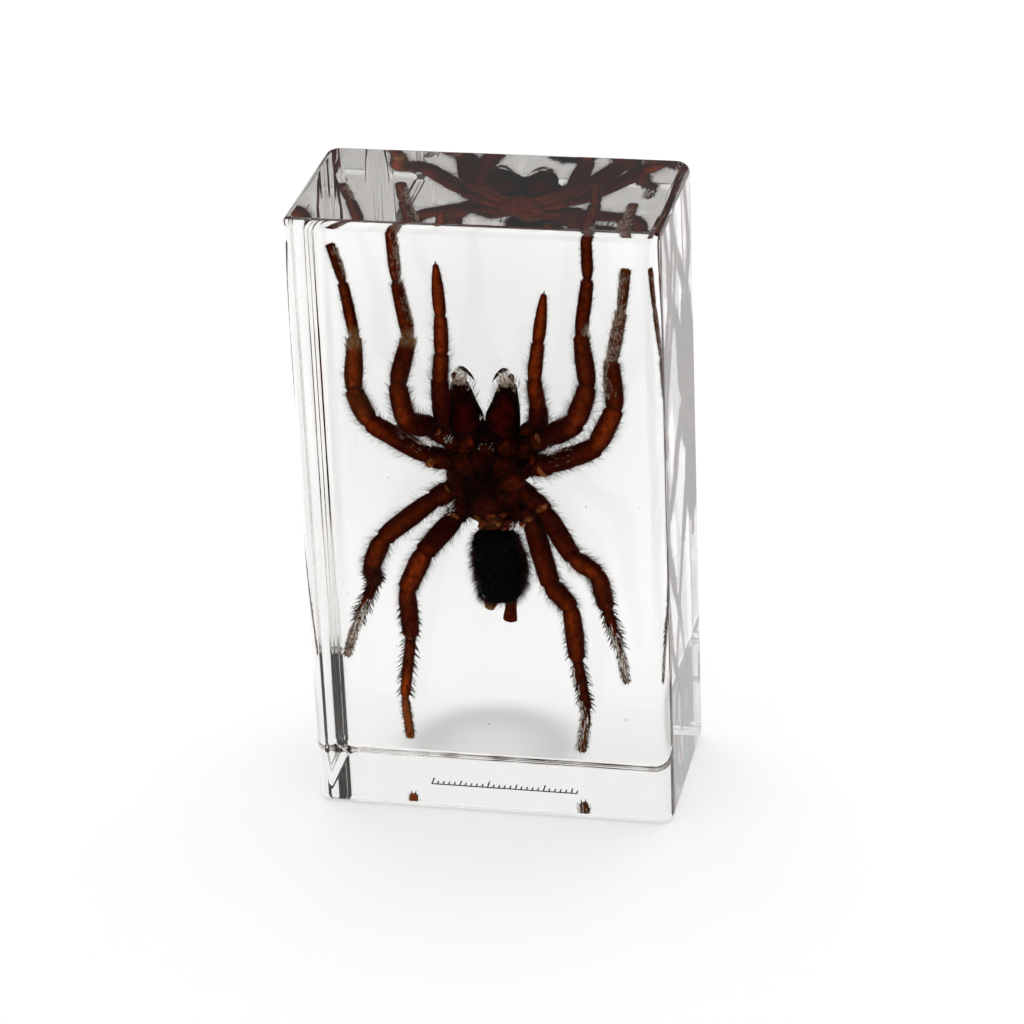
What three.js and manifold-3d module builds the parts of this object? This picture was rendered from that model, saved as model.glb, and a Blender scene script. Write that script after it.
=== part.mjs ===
// Tarantula paperweight: a dried tarantula cast in a polished block of clear resin.
// Millimetres, +Z up. The origin is the middle of the block's foot, the flat face that it stands on.
// The spider lies head up with its back to -Y, the block's front. Its knees arch forwards and its
// feet reach back. The block was poured in two layers around it, which are the two halves here.

import * as THREE from "three";
import { mergeVertices } from "three/addons/utils/BufferGeometryUtils.js";
import Module from "manifold-3d";

const wasm = await Module();
wasm.setup();

// Driving dimensions of the block
const BLOCK_WIDTH = 63;
const BLOCK_DEPTH = 34;
const BLOCK_HEIGHT = 110;
const UPRIGHT_EDGE_RADIUS = 2.8;
const RIM_EDGE_RADIUS = 1.6;
const POUR_PLANE_Y = 3;
const POUR_GAP = 0.3;
const POCKET_CLEARANCE = 0.4;
const TRUNK_CLEARANCE = 1.1;

// Driving dimensions of the spider's body
const CARAPACE = { centre: [-0.7, 1, 60], width: 14.6, length: 15.6, dome: 4.4, belly: 2.2 };
const CARAPACE_GROOVE = 0.9;
const STERNUM = { centre: [-0.7, 4.2, 60], width: 9, length: 11, height: 6.4 };
const EYE_MOUND = { centre: [-0.4, -2.4, 66.3], width: 3, length: 2, height: 2.4 };
const ABDOMEN = { centre: [0.8, 1.2, 43.2], width: 9.6, length: 15, height: 8.6 };
const ABDOMEN_LUMP = 0.08;
const JAW_RADIUS = 2.7;
const FANG_RADIUS = 0.5;
const SPINE_RADIUS = 0.18;
const CLAW_LENGTH = 1.2;
const CLAW_RADIUS = 0.26;

// A leg's seven points: hip, trochanter, knee, patella end, tibia end, metatarsus end and foot
const LEG_POINTS = {
  leg_1_left: [
    [-3.8, 4.2, 63.5], [-10.3, 1.5, 68.8], [-13.2, -8.5, 72], [-14.7, -6, 78.3],
    [-13.2, 0.5, 85.3], [-15.5, 4.5, 94.3], [-16.2, 5.5, 103.7],
  ],
  leg_1_right: [
    [2.4, 4.2, 63.5], [9.8, 1.5, 68], [15.6, -7.5, 73], [17.6, -4, 79],
    [16, 1.5, 86.8], [17, 5.5, 96], [16.7, 7.3, 104.2],
  ],
  leg_2_left: [
    [-4.2, 4.6, 61], [-11.2, 1.5, 63.2], [-20.2, -4, 70.5], [-23.4, 0.5, 75],
    [-22.8, 2, 84.6], [-24.6, 4, 94], [-26.9, 7, 100],
  ],
  leg_2_right: [
    [2.8, 4.6, 61], [10.1, 1.5, 62.8], [19, -7, 68.8], [22.4, -6.5, 75.9],
    [21.4, -1, 83], [22.9, 2.5, 91.2], [23.6, 4.5, 98.4],
  ],
  leg_3_left: [
    [-4.2, 4.6, 58.4], [-10.6, 2, 54.9], [-19.8, 0.5, 47.3], [-22.1, 1, 41.8],
    [-22.6, 7, 37], [-26.7, 9.5, 27.8], [-29, 10.6, 20.6],
  ],
  leg_3_right: [
    [2.8, 4.6, 58.4], [8.8, 2, 53.6], [13.9, -2.5, 46.4], [18.2, -3.5, 44.2],
    [19, 0.5, 36.4], [20.7, 4.5, 27.5], [21.5, 6.5, 20],
  ],
  leg_4_left: [
    [-3.4, 4.4, 56.6], [-7, 2, 51.6], [-11.7, -5.5, 46.8], [-15.1, -5.5, 39.6],
    [-15.6, 0, 28.8], [-18, 4.5, 15], [-17.9, 8, 5.8],
  ],
  leg_4_right: [
    [2, 4.4, 56.6], [6.4, 2, 51.8], [9.6, -0.5, 40.4], [13.4, -3.5, 37.2],
    [13.8, -1, 26.4], [14.4, 6, 14.3], [13, 8, 5.2],
  ],
};

// A palp's six points: hip, trochanter, knee, patella end, tibia end and foot
const PALP_POINTS = {
  palp_left: [
    [-3, 4, 65], [-7.8, 2, 69.3], [-7.4, -5, 79.3], [-6.7, -6.5, 84.4],
    [-6.8, -5, 90.9], [-7.5, -3, 99.8],
  ],
  palp_right: [
    [1.6, 4, 65], [8.2, 3, 69.6], [9.2, -5.5, 75.4], [8.8, -7, 80.6],
    [9.6, -5.5, 87], [10.6, -3, 95.3],
  ],
};

// Radii of the segments from hip to foot
const LEG_RADII = {
  1: [1.9, 1.6, 1.7, 1.55, 1.08, 0.8],
  2: [1.9, 1.6, 1.55, 1.38, 0.95, 0.7],
  3: [1.8, 1.55, 1.45, 1.3, 0.85, 0.68],
  4: [1.8, 1.65, 1.6, 1.42, 0.95, 0.74],
};
const PALP_RADII = [1.6, 1.35, 1.3, 1.18, 1.02];
const JOINT_WAIST = 0.8;

// The thorns on the last two segments of the hind legs
const METATARSUS_SPINES = { count: 9, length: 1.3 };
const TARSUS_SPINES = { count: 4, length: 0.7 };

const LIMB_SIDES = 7;
const POCKET_SIDES = 6;

const vector = (point) => new THREE.Vector3(...point);
const join = (solids) => solids.reduce((whole, piece) => whole.add(piece));

// A three.js geometry as a solid that can be joined and cut
function toSolid(geometry) {
  const bare = geometry.clone();
  bare.deleteAttribute("normal");
  bare.deleteAttribute("uv");
  const merged = mergeVertices(bare, 1e-4);
  const corners = merged.index.array;
  const kept = [];
  for (let i = 0; i < corners.length; i += 3) {
    const [a, b, c] = [corners[i], corners[i + 1], corners[i + 2]];
    if (a !== b && b !== c && c !== a) kept.push(a, b, c);
  }
  return new wasm.Manifold(
    new wasm.Mesh({
      numProp: 3,
      vertProperties: merged.attributes.position.array,
      triVerts: new Uint32Array(kept),
    }),
  );
}

function toGeometry(solid) {
  const mesh = solid.getMesh();
  const geometry = new THREE.BufferGeometry();
  geometry.setAttribute("position", new THREE.BufferAttribute(mesh.vertProperties, 3));
  geometry.setIndex(new THREE.BufferAttribute(mesh.triVerts, 1));
  const faceted = geometry.toNonIndexed();
  faceted.computeVertexNormals();
  return faceted;
}

// Closes a row of rings, each a list of points, into one skin with a point at either end
function skin(rings, first, last) {
  const positions = [];
  const face = (...corners) => corners.forEach((corner) => positions.push(...corner.toArray()));
  const sides = rings[0].length;
  for (let side = 0; side < sides; side += 1) {
    const next = (side + 1) % sides;
    face(first, rings[0][next], rings[0][side]);
    for (let i = 0; i + 1 < rings.length; i += 1) {
      face(rings[i][side], rings[i][next], rings[i + 1][next]);
      face(rings[i][side], rings[i + 1][next], rings[i + 1][side]);
    }
    face(last, rings.at(-1)[side], rings.at(-1)[next]);
  }
  const geometry = new THREE.BufferGeometry();
  geometry.setAttribute("position", new THREE.Float32BufferAttribute(positions, 3));
  return geometry;
}

// A jointed tube. Each joint is a ring on the plane that halves its bend, and each stretch
// between two joints has a ring at every [share of its length, radius] that swell gives for it
function jointedTube(joints, jointRadii, sides, swell = () => []) {
  const directions = joints.slice(1).map((joint, i) => joint.clone().sub(joints[i]).normalize());
  const across = new THREE.Vector3(1, 0, 0).cross(directions[0]).normalize();
  const ring = (centre, direction, plane, radius) => {
    const third = direction.clone().cross(across);
    return Array.from({ length: sides }, (_, k) => {
      const angle = (k / sides) * 2 * Math.PI;
      const offset = across
        .clone()
        .multiplyScalar(Math.cos(angle) * radius)
        .addScaledVector(third, Math.sin(angle) * radius);
      const slide = -offset.dot(plane) / direction.dot(plane);
      return offset.addScaledVector(direction, slide).add(centre);
    });
  };
  const rings = [];
  directions.forEach((direction, i) => {
    const before = directions[i - 1] ?? direction;
    across.applyQuaternion(new THREE.Quaternion().setFromUnitVectors(before, direction));
    const plane = before.clone().add(direction).normalize();
    rings.push(ring(joints[i], direction, plane, jointRadii[i]));
    for (const [share, radius] of swell(i)) {
      rings.push(ring(joints[i].clone().lerp(joints[i + 1], share), direction, direction, radius));
    }
  });
  const [foot, heading, footRadius] = [joints.at(-1), directions.at(-1), jointRadii.at(-1)];
  rings.push(ring(foot, heading, heading, footRadius));
  const root = joints[0].clone().addScaledVector(directions[0], -jointRadii[0] * 0.5);
  return skin(rings, root, foot.clone().addScaledVector(heading, footRadius * 0.5));
}

const neighbours = (radii, i) => [radii[Math.max(i - 1, 0)], radii[Math.min(i, radii.length - 1)]];

// A limb's skin, whose segments swell between narrow joints
function limbSkin(joints, radii) {
  const waists = joints.map((_, i) => JOINT_WAIST * Math.min(...neighbours(radii, i)));
  const swell = (i) => [[0.32, radii[i]], [0.75, radii[i] * 0.97]];
  return jointedTube(joints, waists, LIMB_SIDES, swell);
}

// The room that the resin leaves around a tube of these radii
function limbPocket(joints, radii) {
  const grown = joints.map(
    (_, i) => (Math.max(...neighbours(radii, i)) + POCKET_CLEARANCE) / Math.cos(Math.PI / POCKET_SIDES),
  );
  return jointedTube(joints, grown, POCKET_SIDES);
}

// A horn bent along a curve through its points, from a round root to a fine tip
function horn(points, rootRadius, sides, steps) {
  const curve = new THREE.CatmullRomCurve3(points);
  const frames = curve.computeFrenetFrames(steps, false);
  const rings = Array.from({ length: steps + 1 }, (_, step) => {
    const radius = rootRadius * (1 - (0.85 * step) / steps);
    return Array.from({ length: sides }, (_unused, k) => {
      const angle = (k / sides) * 2 * Math.PI;
      return curve
        .getPointAt(step / steps)
        .addScaledVector(frames.normals[step], Math.cos(angle) * radius)
        .addScaledVector(frames.binormals[step], Math.sin(angle) * radius);
    });
  });
  return skin(rings, curve.getPointAt(0), curve.getPointAt(1));
}

// A ball whose vertices are moved by a rule, with its poles front and back
function mound(columns, rows, centre, rule) {
  const geometry = new THREE.SphereGeometry(1, columns, rows).rotateX(-Math.PI / 2);
  const position = geometry.attributes.position;
  const point = new THREE.Vector3();
  for (let i = 0; i < position.count; i += 1) {
    rule(point.fromBufferAttribute(position, i));
    position.setXYZ(i, point.x, point.y, point.z);
  }
  return geometry.translate(...centre);
}

const ball = (columns, rows, { centre, width, height, length }, grow = 0) =>
  mound(columns, rows, centre, (p) =>
    p.multiply(vector([width / 2 + grow, height / 2 + grow, length / 2 + grow])),
  );

// The carapace: a low dome, narrow at the head, with grooves that run out from its middle
function carapace(columns, rows, grow = 0, groove = 0) {
  return mound(columns, rows, CARAPACE.centre, (p) => {
    const rim = Math.hypot(p.x, p.z);
    const spoke = Math.round((Math.atan2(p.z, p.x) / (2 * Math.PI)) * columns);
    const dip = spoke % 2 ? groove * rim * Math.max(0, -p.y) : 0;
    const narrow = 1 - 0.3 * Math.max(0, p.z) - 0.12 * Math.max(0, -p.z);
    p.x *= (CARAPACE.width / 2 + grow) * narrow;
    p.z *= CARAPACE.length / 2 + grow;
    p.y *= (p.y < 0 ? CARAPACE.dome : CARAPACE.belly) + grow;
    p.y += dip;
  });
}

// The shrunken abdomen: narrower low on the left, with a lumpy skin
function abdomen(columns, rows, grow = 0, lump = 0) {
  return mound(columns, rows, ABDOMEN.centre, (p) => {
    const low = Math.max(0, -p.z);
    p.multiplyScalar(1 + lump * Math.sin(5 * p.x + 7 * p.z) * Math.cos(6 * p.y + 3 * p.z));
    p.x = p.x * (1 - 0.18 * low) + 0.08 * low;
    p.x *= ABDOMEN.width / 2 + grow;
    p.y *= ABDOMEN.height / 2 + grow;
    p.z *= ABDOMEN.length / 2 + grow;
  });
}

const spider = [];
const pocket = [];

// Thorns in two rows along a segment, leaning towards the foot
function spines(from, to, radius, { count, length }) {
  const along = to.clone().sub(from);
  const lean = along.clone().normalize();
  const sideways = new THREE.Vector3(0, 1, 0).cross(lean).normalize();
  const backward = sideways.clone().cross(lean);
  for (let i = 0; i < count; i += 1) {
    const out = sideways
      .clone()
      .multiplyScalar(i % 2 ? 1 : -1)
      .addScaledVector(backward, 0.35 * (i % 3) - 0.3)
      .normalize();
    const root = from
      .clone()
      .addScaledVector(along, 0.2 + (0.7 * i) / count)
      .addScaledVector(out, radius * 0.7);
    const heading = out.addScaledVector(lean, 0.45).normalize();
    const turn = new THREE.Quaternion().setFromUnitVectors(new THREE.Vector3(0, 1, 0), heading);
    const cone = new THREE.ConeGeometry(SPINE_RADIUS, length, 3)
      .translate(0, length / 2, 0)
      .applyQuaternion(turn)
      .translate(root.x, root.y, root.z);
    spider.push(toSolid(cone));
  }
}

// Claws that curve back from the foot: a pair on a leg, and one on a palp
function claws(ankle, foot, radius, sides) {
  const along = foot.clone().sub(ankle).normalize();
  const sideways = new THREE.Vector3(0, 1, 0).cross(along).normalize();
  for (const side of sides) {
    const root = foot.clone().addScaledVector(sideways, side * radius * 0.35);
    const middle = root.clone().addScaledVector(along, CLAW_LENGTH * 0.7);
    const tip = middle.clone().addScaledVector(along, CLAW_LENGTH * 0.4).add(vector([0, 0.4, 0]));
    spider.push(toSolid(horn([root, middle, tip], CLAW_RADIUS, 4, 2)));
  }
}

// A leg or a palp, and its room in the resin, which its claws and thorns lengthen and widen
function limb(points, radii, clawSides, thorny) {
  const joints = points.map(vector);
  const last = radii.length - 1;
  const [metatarsus, ankle, foot] = joints.slice(-3);
  const roomyRadii = [...radii];
  spider.push(toSolid(limbSkin(joints, radii)));
  claws(ankle, foot, radii[last], clawSides);
  if (thorny) {
    spines(metatarsus, ankle, radii[last - 1], METATARSUS_SPINES);
    spines(ankle, foot, radii[last], TARSUS_SPINES);
    roomyRadii[last - 1] += METATARSUS_SPINES.length * 0.7;
    roomyRadii[last] += TARSUS_SPINES.length * 0.6;
  }
  const reach = foot.clone().sub(ankle).setLength(CLAW_LENGTH).add(foot);
  pocket.push(toSolid(limbPocket([...joints.slice(0, -1), reach], roomyRadii)));
}

function trunk() {
  spider.push(toSolid(carapace(24, 8, 0, CARAPACE_GROOVE)));
  spider.push(toSolid(ball(12, 7, STERNUM)));
  spider.push(toSolid(ball(8, 6, EYE_MOUND)));
  spider.push(toSolid(abdomen(14, 9, 0, ABDOMEN_LUMP)));
  pocket.push(toSolid(carapace(12, 6, TRUNK_CLEARANCE)));
  pocket.push(toSolid(ball(8, 6, STERNUM, TRUNK_CLEARANCE)));
  pocket.push(toSolid(ball(6, 4, EYE_MOUND, TRUNK_CLEARANCE)));
  pocket.push(toSolid(abdomen(9, 6, TRUNK_CLEARANCE)));

  // The stalk between the two parts of the body, and the spinnerets at its end
  const rods = [
    [[-0.4, 2, 54], [0.4, 2, 49.5], 1.5],
    [[-0.8, 2, 38], [-1.5, 2.4, 35], 0.9],
    [[2, 2, 38.5], [1.5, 2.4, 32.4], 0.8],
  ];
  for (const [from, to, radius] of rods) {
    const ends = [vector(from), vector(to)];
    const farther = [ends[0], ends[1].clone().lerp(ends[0], -0.2)];
    spider.push(toSolid(jointedTube(ends, [radius, radius], LIMB_SIDES)));
    pocket.push(toSolid(limbPocket(farther, [radius])));
  }
}

// The jaws stand up from the head, each with a pale hinge and a fang that curves inwards
function jaw(side, middle) {
  const at = (out, back, height) => vector([middle + side * out, back, height]);
  const [root, end, hinge] = [at(2.7, 1.4, 65.6), at(4.4, 2.6, 77.4), at(4.5, 3.1, 79.4)];
  const swell = (i) => (i ? [] : [[0.45, JAW_RADIUS], [0.85, JAW_RADIUS * 0.92]]);
  const fang = [at(4.6, 3.1, 79), at(3.9, 3.4, 80), at(2.8, 3.7, 79.3), at(1.7, 4, 77.5)];
  spider.push(toSolid(jointedTube([root, end, hinge], [2.3, 1.7, 1], LIMB_SIDES + 1, swell)));
  spider.push(toSolid(horn(fang, FANG_RADIUS, 6, 5)));
  pocket.push(toSolid(limbPocket([root, end, hinge], [JAW_RADIUS, 1.7])));
  pocket.push(toSolid(limbPocket(fang.slice(1), [FANG_RADIUS * 1.4, FANG_RADIUS])));
}

trunk();
jaw(-1, -0.7);
jaw(1, -1.2);
for (const [name, points] of Object.entries(LEG_POINTS)) {
  const pair = Number(name.split("_")[1]);
  limb(points, LEG_RADII[pair], [-1, 1], pair > 2);
}
for (const points of Object.values(PALP_POINTS)) limb(points, PALP_RADII, [0], false);

// The block, with rounded upright edges and softened rims
function block() {
  const x = BLOCK_WIDTH / 2 - RIM_EDGE_RADIUS;
  const y = BLOCK_DEPTH / 2 - RIM_EDGE_RADIUS;
  const r = UPRIGHT_EDGE_RADIUS - RIM_EDGE_RADIUS;
  const plan = new THREE.Shape();
  plan.moveTo(-x + r, -y);
  plan.lineTo(x - r, -y);
  plan.absarc(x - r, -y + r, r, -Math.PI / 2, 0);
  plan.lineTo(x, y - r);
  plan.absarc(x - r, y - r, r, 0, Math.PI / 2);
  plan.lineTo(-x + r, y);
  plan.absarc(-x + r, y - r, r, Math.PI / 2, Math.PI);
  plan.lineTo(-x, -y + r);
  plan.absarc(-x + r, -y + r, r, Math.PI, 1.5 * Math.PI);
  const raised = new THREE.ExtrudeGeometry(plan, {
    depth: BLOCK_HEIGHT - 2 * RIM_EDGE_RADIUS,
    bevelSize: RIM_EDGE_RADIUS,
    bevelThickness: RIM_EDGE_RADIUS,
    bevelSegments: 3,
    curveSegments: 4,
  });
  return toSolid(raised.translate(0, 0, RIM_EDGE_RADIUS));
}

// Everything on one side of the plane between the two pours
function poured(sign) {
  const size = BLOCK_HEIGHT * 2;
  const shift = POUR_PLANE_Y + (sign * (size + POUR_GAP)) / 2;
  return toSolid(new THREE.BoxGeometry(size, size, size).translate(0, shift, 0));
}

const cast = block().subtract(join(pocket));
const clear = new THREE.MeshStandardMaterial({
  color: 0xf2f2ee,
  roughness: 0.04,
  metalness: 0,
  transparent: true,
  opacity: 0.25,
});
const cuticle = new THREE.MeshStandardMaterial({ color: 0x3a1a10, roughness: 0.5, metalness: 0 });

const paperweight = new THREE.Group();
function add(name, solid, material) {
  const mesh = new THREE.Mesh(toGeometry(solid), material);
  mesh.name = name;
  paperweight.add(mesh);
}
add("resin_front", cast.intersect(poured(-1)), clear);
add("resin_back", cast.intersect(poured(1)), clear.clone());
add("tarantula", join(spider), cuticle);

export default paperweight;
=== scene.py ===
"""Tarantula paperweight: a dried tarantula cast in a polished block of clear resin.

The spider stands head up with its back to -Y, the block's front. Sizes are in millimetres
unless a name says otherwise, and to_metres() turns them to Blender's metres.
"""

import math

import bpy
import numpy as np
from mathutils import Matrix, Vector, noise


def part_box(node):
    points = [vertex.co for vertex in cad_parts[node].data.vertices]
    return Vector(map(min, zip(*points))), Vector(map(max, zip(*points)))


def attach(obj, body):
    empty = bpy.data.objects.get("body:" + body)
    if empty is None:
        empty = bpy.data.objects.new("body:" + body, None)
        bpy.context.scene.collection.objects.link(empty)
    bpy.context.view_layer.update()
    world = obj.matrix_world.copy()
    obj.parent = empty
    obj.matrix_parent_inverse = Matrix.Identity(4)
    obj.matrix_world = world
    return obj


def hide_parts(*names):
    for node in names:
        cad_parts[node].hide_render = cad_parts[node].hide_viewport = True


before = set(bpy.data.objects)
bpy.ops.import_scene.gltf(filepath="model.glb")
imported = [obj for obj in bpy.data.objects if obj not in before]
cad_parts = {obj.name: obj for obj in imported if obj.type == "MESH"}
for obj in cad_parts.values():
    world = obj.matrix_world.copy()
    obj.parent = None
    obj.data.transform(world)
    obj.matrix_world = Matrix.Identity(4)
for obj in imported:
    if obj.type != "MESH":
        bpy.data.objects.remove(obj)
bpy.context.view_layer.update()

bl_info = {
    "name": "Tarantula Paperweight",
    "version": (1, 0, 0),
    "blender": (4, 5, 0),
    "location": "View3D > Sidebar > Paperweight",
    "description": "Builds a dried tarantula cast in a block of clear resin",
    "category": "Add Mesh",
}

MM = 0.001
BODY = "root"

# Joints of the limbs from the hip to the foot, and the radius of each segment
LEG_JOINTS = {
    "leg_1_left": [
        (-3.8, 4.2, 63.5), (-10.3, 1.5, 68.8), (-13.2, -8.5, 72), (-14.7, -6, 78.3),
        (-13.2, 0.5, 85.3), (-15.5, 4.5, 94.3), (-16.2, 5.5, 103.7),
    ],
    "leg_1_right": [
        (2.4, 4.2, 63.5), (9.8, 1.5, 68), (15.6, -7.5, 73), (17.6, -4, 79),
        (16, 1.5, 86.8), (17, 5.5, 96), (16.7, 7.3, 104.2),
    ],
    "leg_2_left": [
        (-4.2, 4.6, 61), (-11.2, 1.5, 63.2), (-20.2, -4, 70.5), (-23.4, 0.5, 75),
        (-22.8, 2, 84.6), (-24.6, 4, 94), (-26.9, 7, 100),
    ],
    "leg_2_right": [
        (2.8, 4.6, 61), (10.1, 1.5, 62.8), (19, -7, 68.8), (22.4, -6.5, 75.9),
        (21.4, -1, 83), (22.9, 2.5, 91.2), (23.6, 4.5, 98.4),
    ],
    "leg_3_left": [
        (-4.2, 4.6, 58.4), (-10.6, 2, 54.9), (-19.8, 0.5, 47.3), (-22.1, 1, 41.8),
        (-22.6, 7, 37), (-26.7, 9.5, 27.8), (-29, 10.6, 20.6),
    ],
    "leg_3_right": [
        (2.8, 4.6, 58.4), (8.8, 2, 53.6), (13.9, -2.5, 46.4), (18.2, -3.5, 44.2),
        (19, 0.5, 36.4), (20.7, 4.5, 27.5), (21.5, 6.5, 20),
    ],
    "leg_4_left": [
        (-3.4, 4.4, 56.6), (-7, 2, 51.6), (-11.7, -5.5, 46.8), (-15.1, -5.5, 39.6),
        (-15.6, 0, 28.8), (-18, 4.5, 15), (-17.9, 8, 5.8),
    ],
    "leg_4_right": [
        (2, 4.4, 56.6), (6.4, 2, 51.8), (9.6, -0.5, 40.4), (13.4, -3.5, 37.2),
        (13.8, -1, 26.4), (14.4, 6, 14.3), (13, 8, 5.2),
    ],
}
PALP_JOINTS = {
    "palp_left": [
        (-3, 4, 65), (-8.3, 2, 69.5), (-7.5, -5, 79.3), (-6.7, -6.5, 84.4),
        (-6.8, -5, 90.9), (-7.5, -3, 99.8),
    ],
    "palp_right": [
        (1.6, 4, 65), (8.2, 3, 69.6), (9.2, -5.5, 75.4), (8.8, -7, 80.6),
        (9.6, -5.5, 87), (10.6, -3, 95.3),
    ],
}
LEG_RADII = {
    "leg_1": (1.95, 1.95, 1.7, 1.5, 1.14, 0.95),
    "leg_2": (1.95, 1.8, 1.65, 1.5, 0.98, 0.82),
    "leg_3": (1.85, 1.7, 1.55, 1.55, 0.88, 0.58),
    "leg_4": (1.85, 1.8, 1.7, 1.55, 0.95, 0.76),
}
PALP_RADII = (1.6, 1.6, 1.32, 1.18, 1.02)

# How much light comes through the middle of each segment, from the hip: 0 is near black
LEG_AMBER = {
    "leg_1_left": (0.3, 0.2, 0.8, 0.7, 0.45, 0.4),
    "leg_1_right": (0.3, 0.2, 0.85, 0.8, 0.5, 0.35),
    "leg_2_left": (0.4, 0.16, 1.45, 0.75, 0.5, 0.4),
    "leg_2_right": (0.4, 0.14, 0.7, 0.65, 0.45, 0.3),
    "leg_3_left": (0.25, 0.26, 0.75, 0.3, 0.28, 0.5),
    "leg_3_right": (0.28, 0.24, 0.8, 0.38, 0.4, 0.3),
    "leg_4_left": (0.3, 0.2, 0.95, 0.3, 0.36, 3.4),
    "leg_4_right": (0.3, 0.18, 1.0, 0.42, 0.4, 0.4),
}
PALP_AMBER = (0.3, 0.2, 0.6, 0.75, 0.7)

# Where a limb has bleached to straw colour: from and to in segments from the hip, and how far
STRAW = [
    ("leg_4_left", 4.95, 6, 0.4), ("leg_4_left", 4, 5, 0.05), ("leg_2_left", 3.72, 4.12, 0.55),
    ("leg_2_left", 2, 3.72, 0.09), ("leg_1_left", 3.7, 4.06, 0.7), ("leg_2_right", 3.85, 6, 0.12),
    ("leg_3_left", 4.9, 6, 0.35), ("leg_3_right", 5.2, 6, 0.3), ("leg_4_right", 5.3, 6, 0.3),
]

# Soft skin that shows pale at a joint: the limb, how far along it in segments, the side that
# it faces, how far it reaches round the limb in degrees and how thick it is in millimetres
MEMBRANES = [
    ("leg_2_right", 0.86, (0, -1, -0.6), 110, 0.72),
    ("leg_3_right", 0.93, (0.3, -1, 0.2), 90, 0.62),
    ("leg_4_left", 1.04, (-0.2, -1, 0.1), 80, 0.55),
    ("leg_4_right", 0.95, (0.2, -1, 0), 70, 0.5),
    ("leg_2_left", 0.95, (0, -1, -0.7), 90, 0.7),
    ("leg_1_left", 0.98, (0, -1, 0.3), 60, 0.5),
    ("leg_1_right", 0.95, (0, -1, 0.5), 60, 0.45),
    ("leg_3_left", 0.62, (0, -1, 0.6), 70, 0.4),
    ("leg_2_left", 4.0, (-0.6, -1, 0), 120, 0.25),
    ("leg_4_left", 4.0, (0, -1, 0), 90, 0.22),
    ("leg_1_left", 4.0, (0, -1, 0), 90, 0.22),
]

# Hair silvered by the air that it holds, with its sheen painted: from and to along the limb, counted in
# segments from the hip, the side that it lies on, how far round it spreads, how dense it is and whether its
# painted sheen is bright or dull
SILVERED = [
    ("leg_1_left", 4.95, 5.9, (0.8, -0.5, 0), 55, 0.9, "dull"),
    ("leg_1_left", 4.1, 4.95, (1, -0.2, 0), 40, 0.8, "dull"),
    ("leg_1_left", 3.75, 4.05, (0.8, -0.5, 0), 55, 0.8, "dull"),
    ("leg_2_left", 5.0, 5.8, (1, -0.3, 0), 45, 0.9, "dull"),
    ("leg_2_left", 3.75, 4.06, (-0.8, -0.6, 0), 60, 1, "dull"),
    ("leg_2_left", 1.05, 1.6, (0.4, -0.8, 1), 50, 0.4, "dull"),
    ("leg_2_left", 1.02, 1.22, (0.4, -0.5, 1), 30, 0.3, "bright"),
    ("leg_1_right", 3.92, 4.12, (0.5, -0.5, 0), 60, 1.2, "dull"),
    ("leg_2_right", 5.0, 5.8, (-0.6, -0.8, 0), 55, 0.9, "dull"),
    ("leg_2_right", 3.95, 5.0, (-0.3, -1, 0), 90, 1.8, "dull"),
    ("leg_2_right", 3.15, 4.02, (-1, -0.5, 0), 50, 1.5, "dull"),
    ("leg_2_right", 1.15, 1.7, (-0.4, -0.8, 1), 50, 0.3, "dull"),
    ("leg_2_right", 1.05, 1.3, (-0.4, -0.4, 1), 30, 0.4, "bright"),
    ("leg_3_left", 4.35, 5.0, (0.6, -0.8, 0), 80, 1, "bright"),
    ("leg_3_left", 5.0, 5.9, (-0.3, -0.8, 0), 90, 1.8, "dull"),
    ("leg_3_left", 5.0, 5.9, (0.3, -0.8, 0), 70, 0.4, "bright"),
    ("leg_3_right", 4.3, 5.0, (-0.5, -0.8, 0), 80, 1, "bright"),
    ("leg_3_right", 5.02, 5.8, (0.2, -0.8, 0), 90, 0.9, "bright"),
    ("leg_4_right", 4.1, 5.0, (-1, -0.3, 0), 50, 1, "bright"),
    ("leg_4_right", 5.0, 5.85, (-0.5, -0.6, 0), 80, 0.9, "bright"),
]

# The two kinds of silvered hair: hairs to a segment at full density, shares of full thickness
# and length, how far they stray and how far they lift off the skin
SILVER_KINDS = {
    "bright": {"hairs": 85, "thick": 1, "long": 1, "stray": 0.06, "lift": 0.3},
    "dull": {"hairs": 190, "thick": 0.55, "long": 0.55, "stray": 0.18, "lift": 0.12},
}

# Tufts of silvered hair between the hips, as places and half sizes
SILVER_TUFTS = [
    ((-7.3, -0.6, 66.8), 0.8), ((-8.3, 0.2, 53.3), 1.1), ((-7.4, 0.2, 53.9), 0.7),
    ((-9.4, 0.4, 52.2), 0.7), ((3.2, -0.8, 51), 0.8), ((4.4, -0.6, 51.4), 0.7),
    ((10, -0.4, 66), 0.5),
]
# Tufts at a jaw's tip and along it: kind, out from the jaw's plane, back, height, half sizes, hairs
JAW_TUFTS = [
    ("bright", 4, 1.2, 78.6, (0.8, 0.8, 0.6), 70), ("bright", 3.5, 1.2, 78, (0.5, 0.7, 0.9), 50),
    ("bright", 4.6, 1.3, 79.3, (0.5, 0.5, 0.4), 30), ("dull", 4.3, 1, 77.5, (1.1, 0.9, 0.9), 190),
    ("dull", 5.2, 1.3, 77.6, (0.5, 0.7, 1), 60), ("bright", 4.3, 0.9, 77.9, (0.9, 0.8, 0.6), 30),
    ("dull", 3, 1.2, 76.2, (0.35, 0.8, 1), 26), ("dull", 2.3, 1.2, 74, (0.35, 0.8, 1), 18),
    ("dull", 5.6, 1.2, 76.2, (0.3, 0.7, 0.8), 20), ("bright", 0.6, -1, 71.4, (0.15, 0.5, 1), 5),
]

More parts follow.
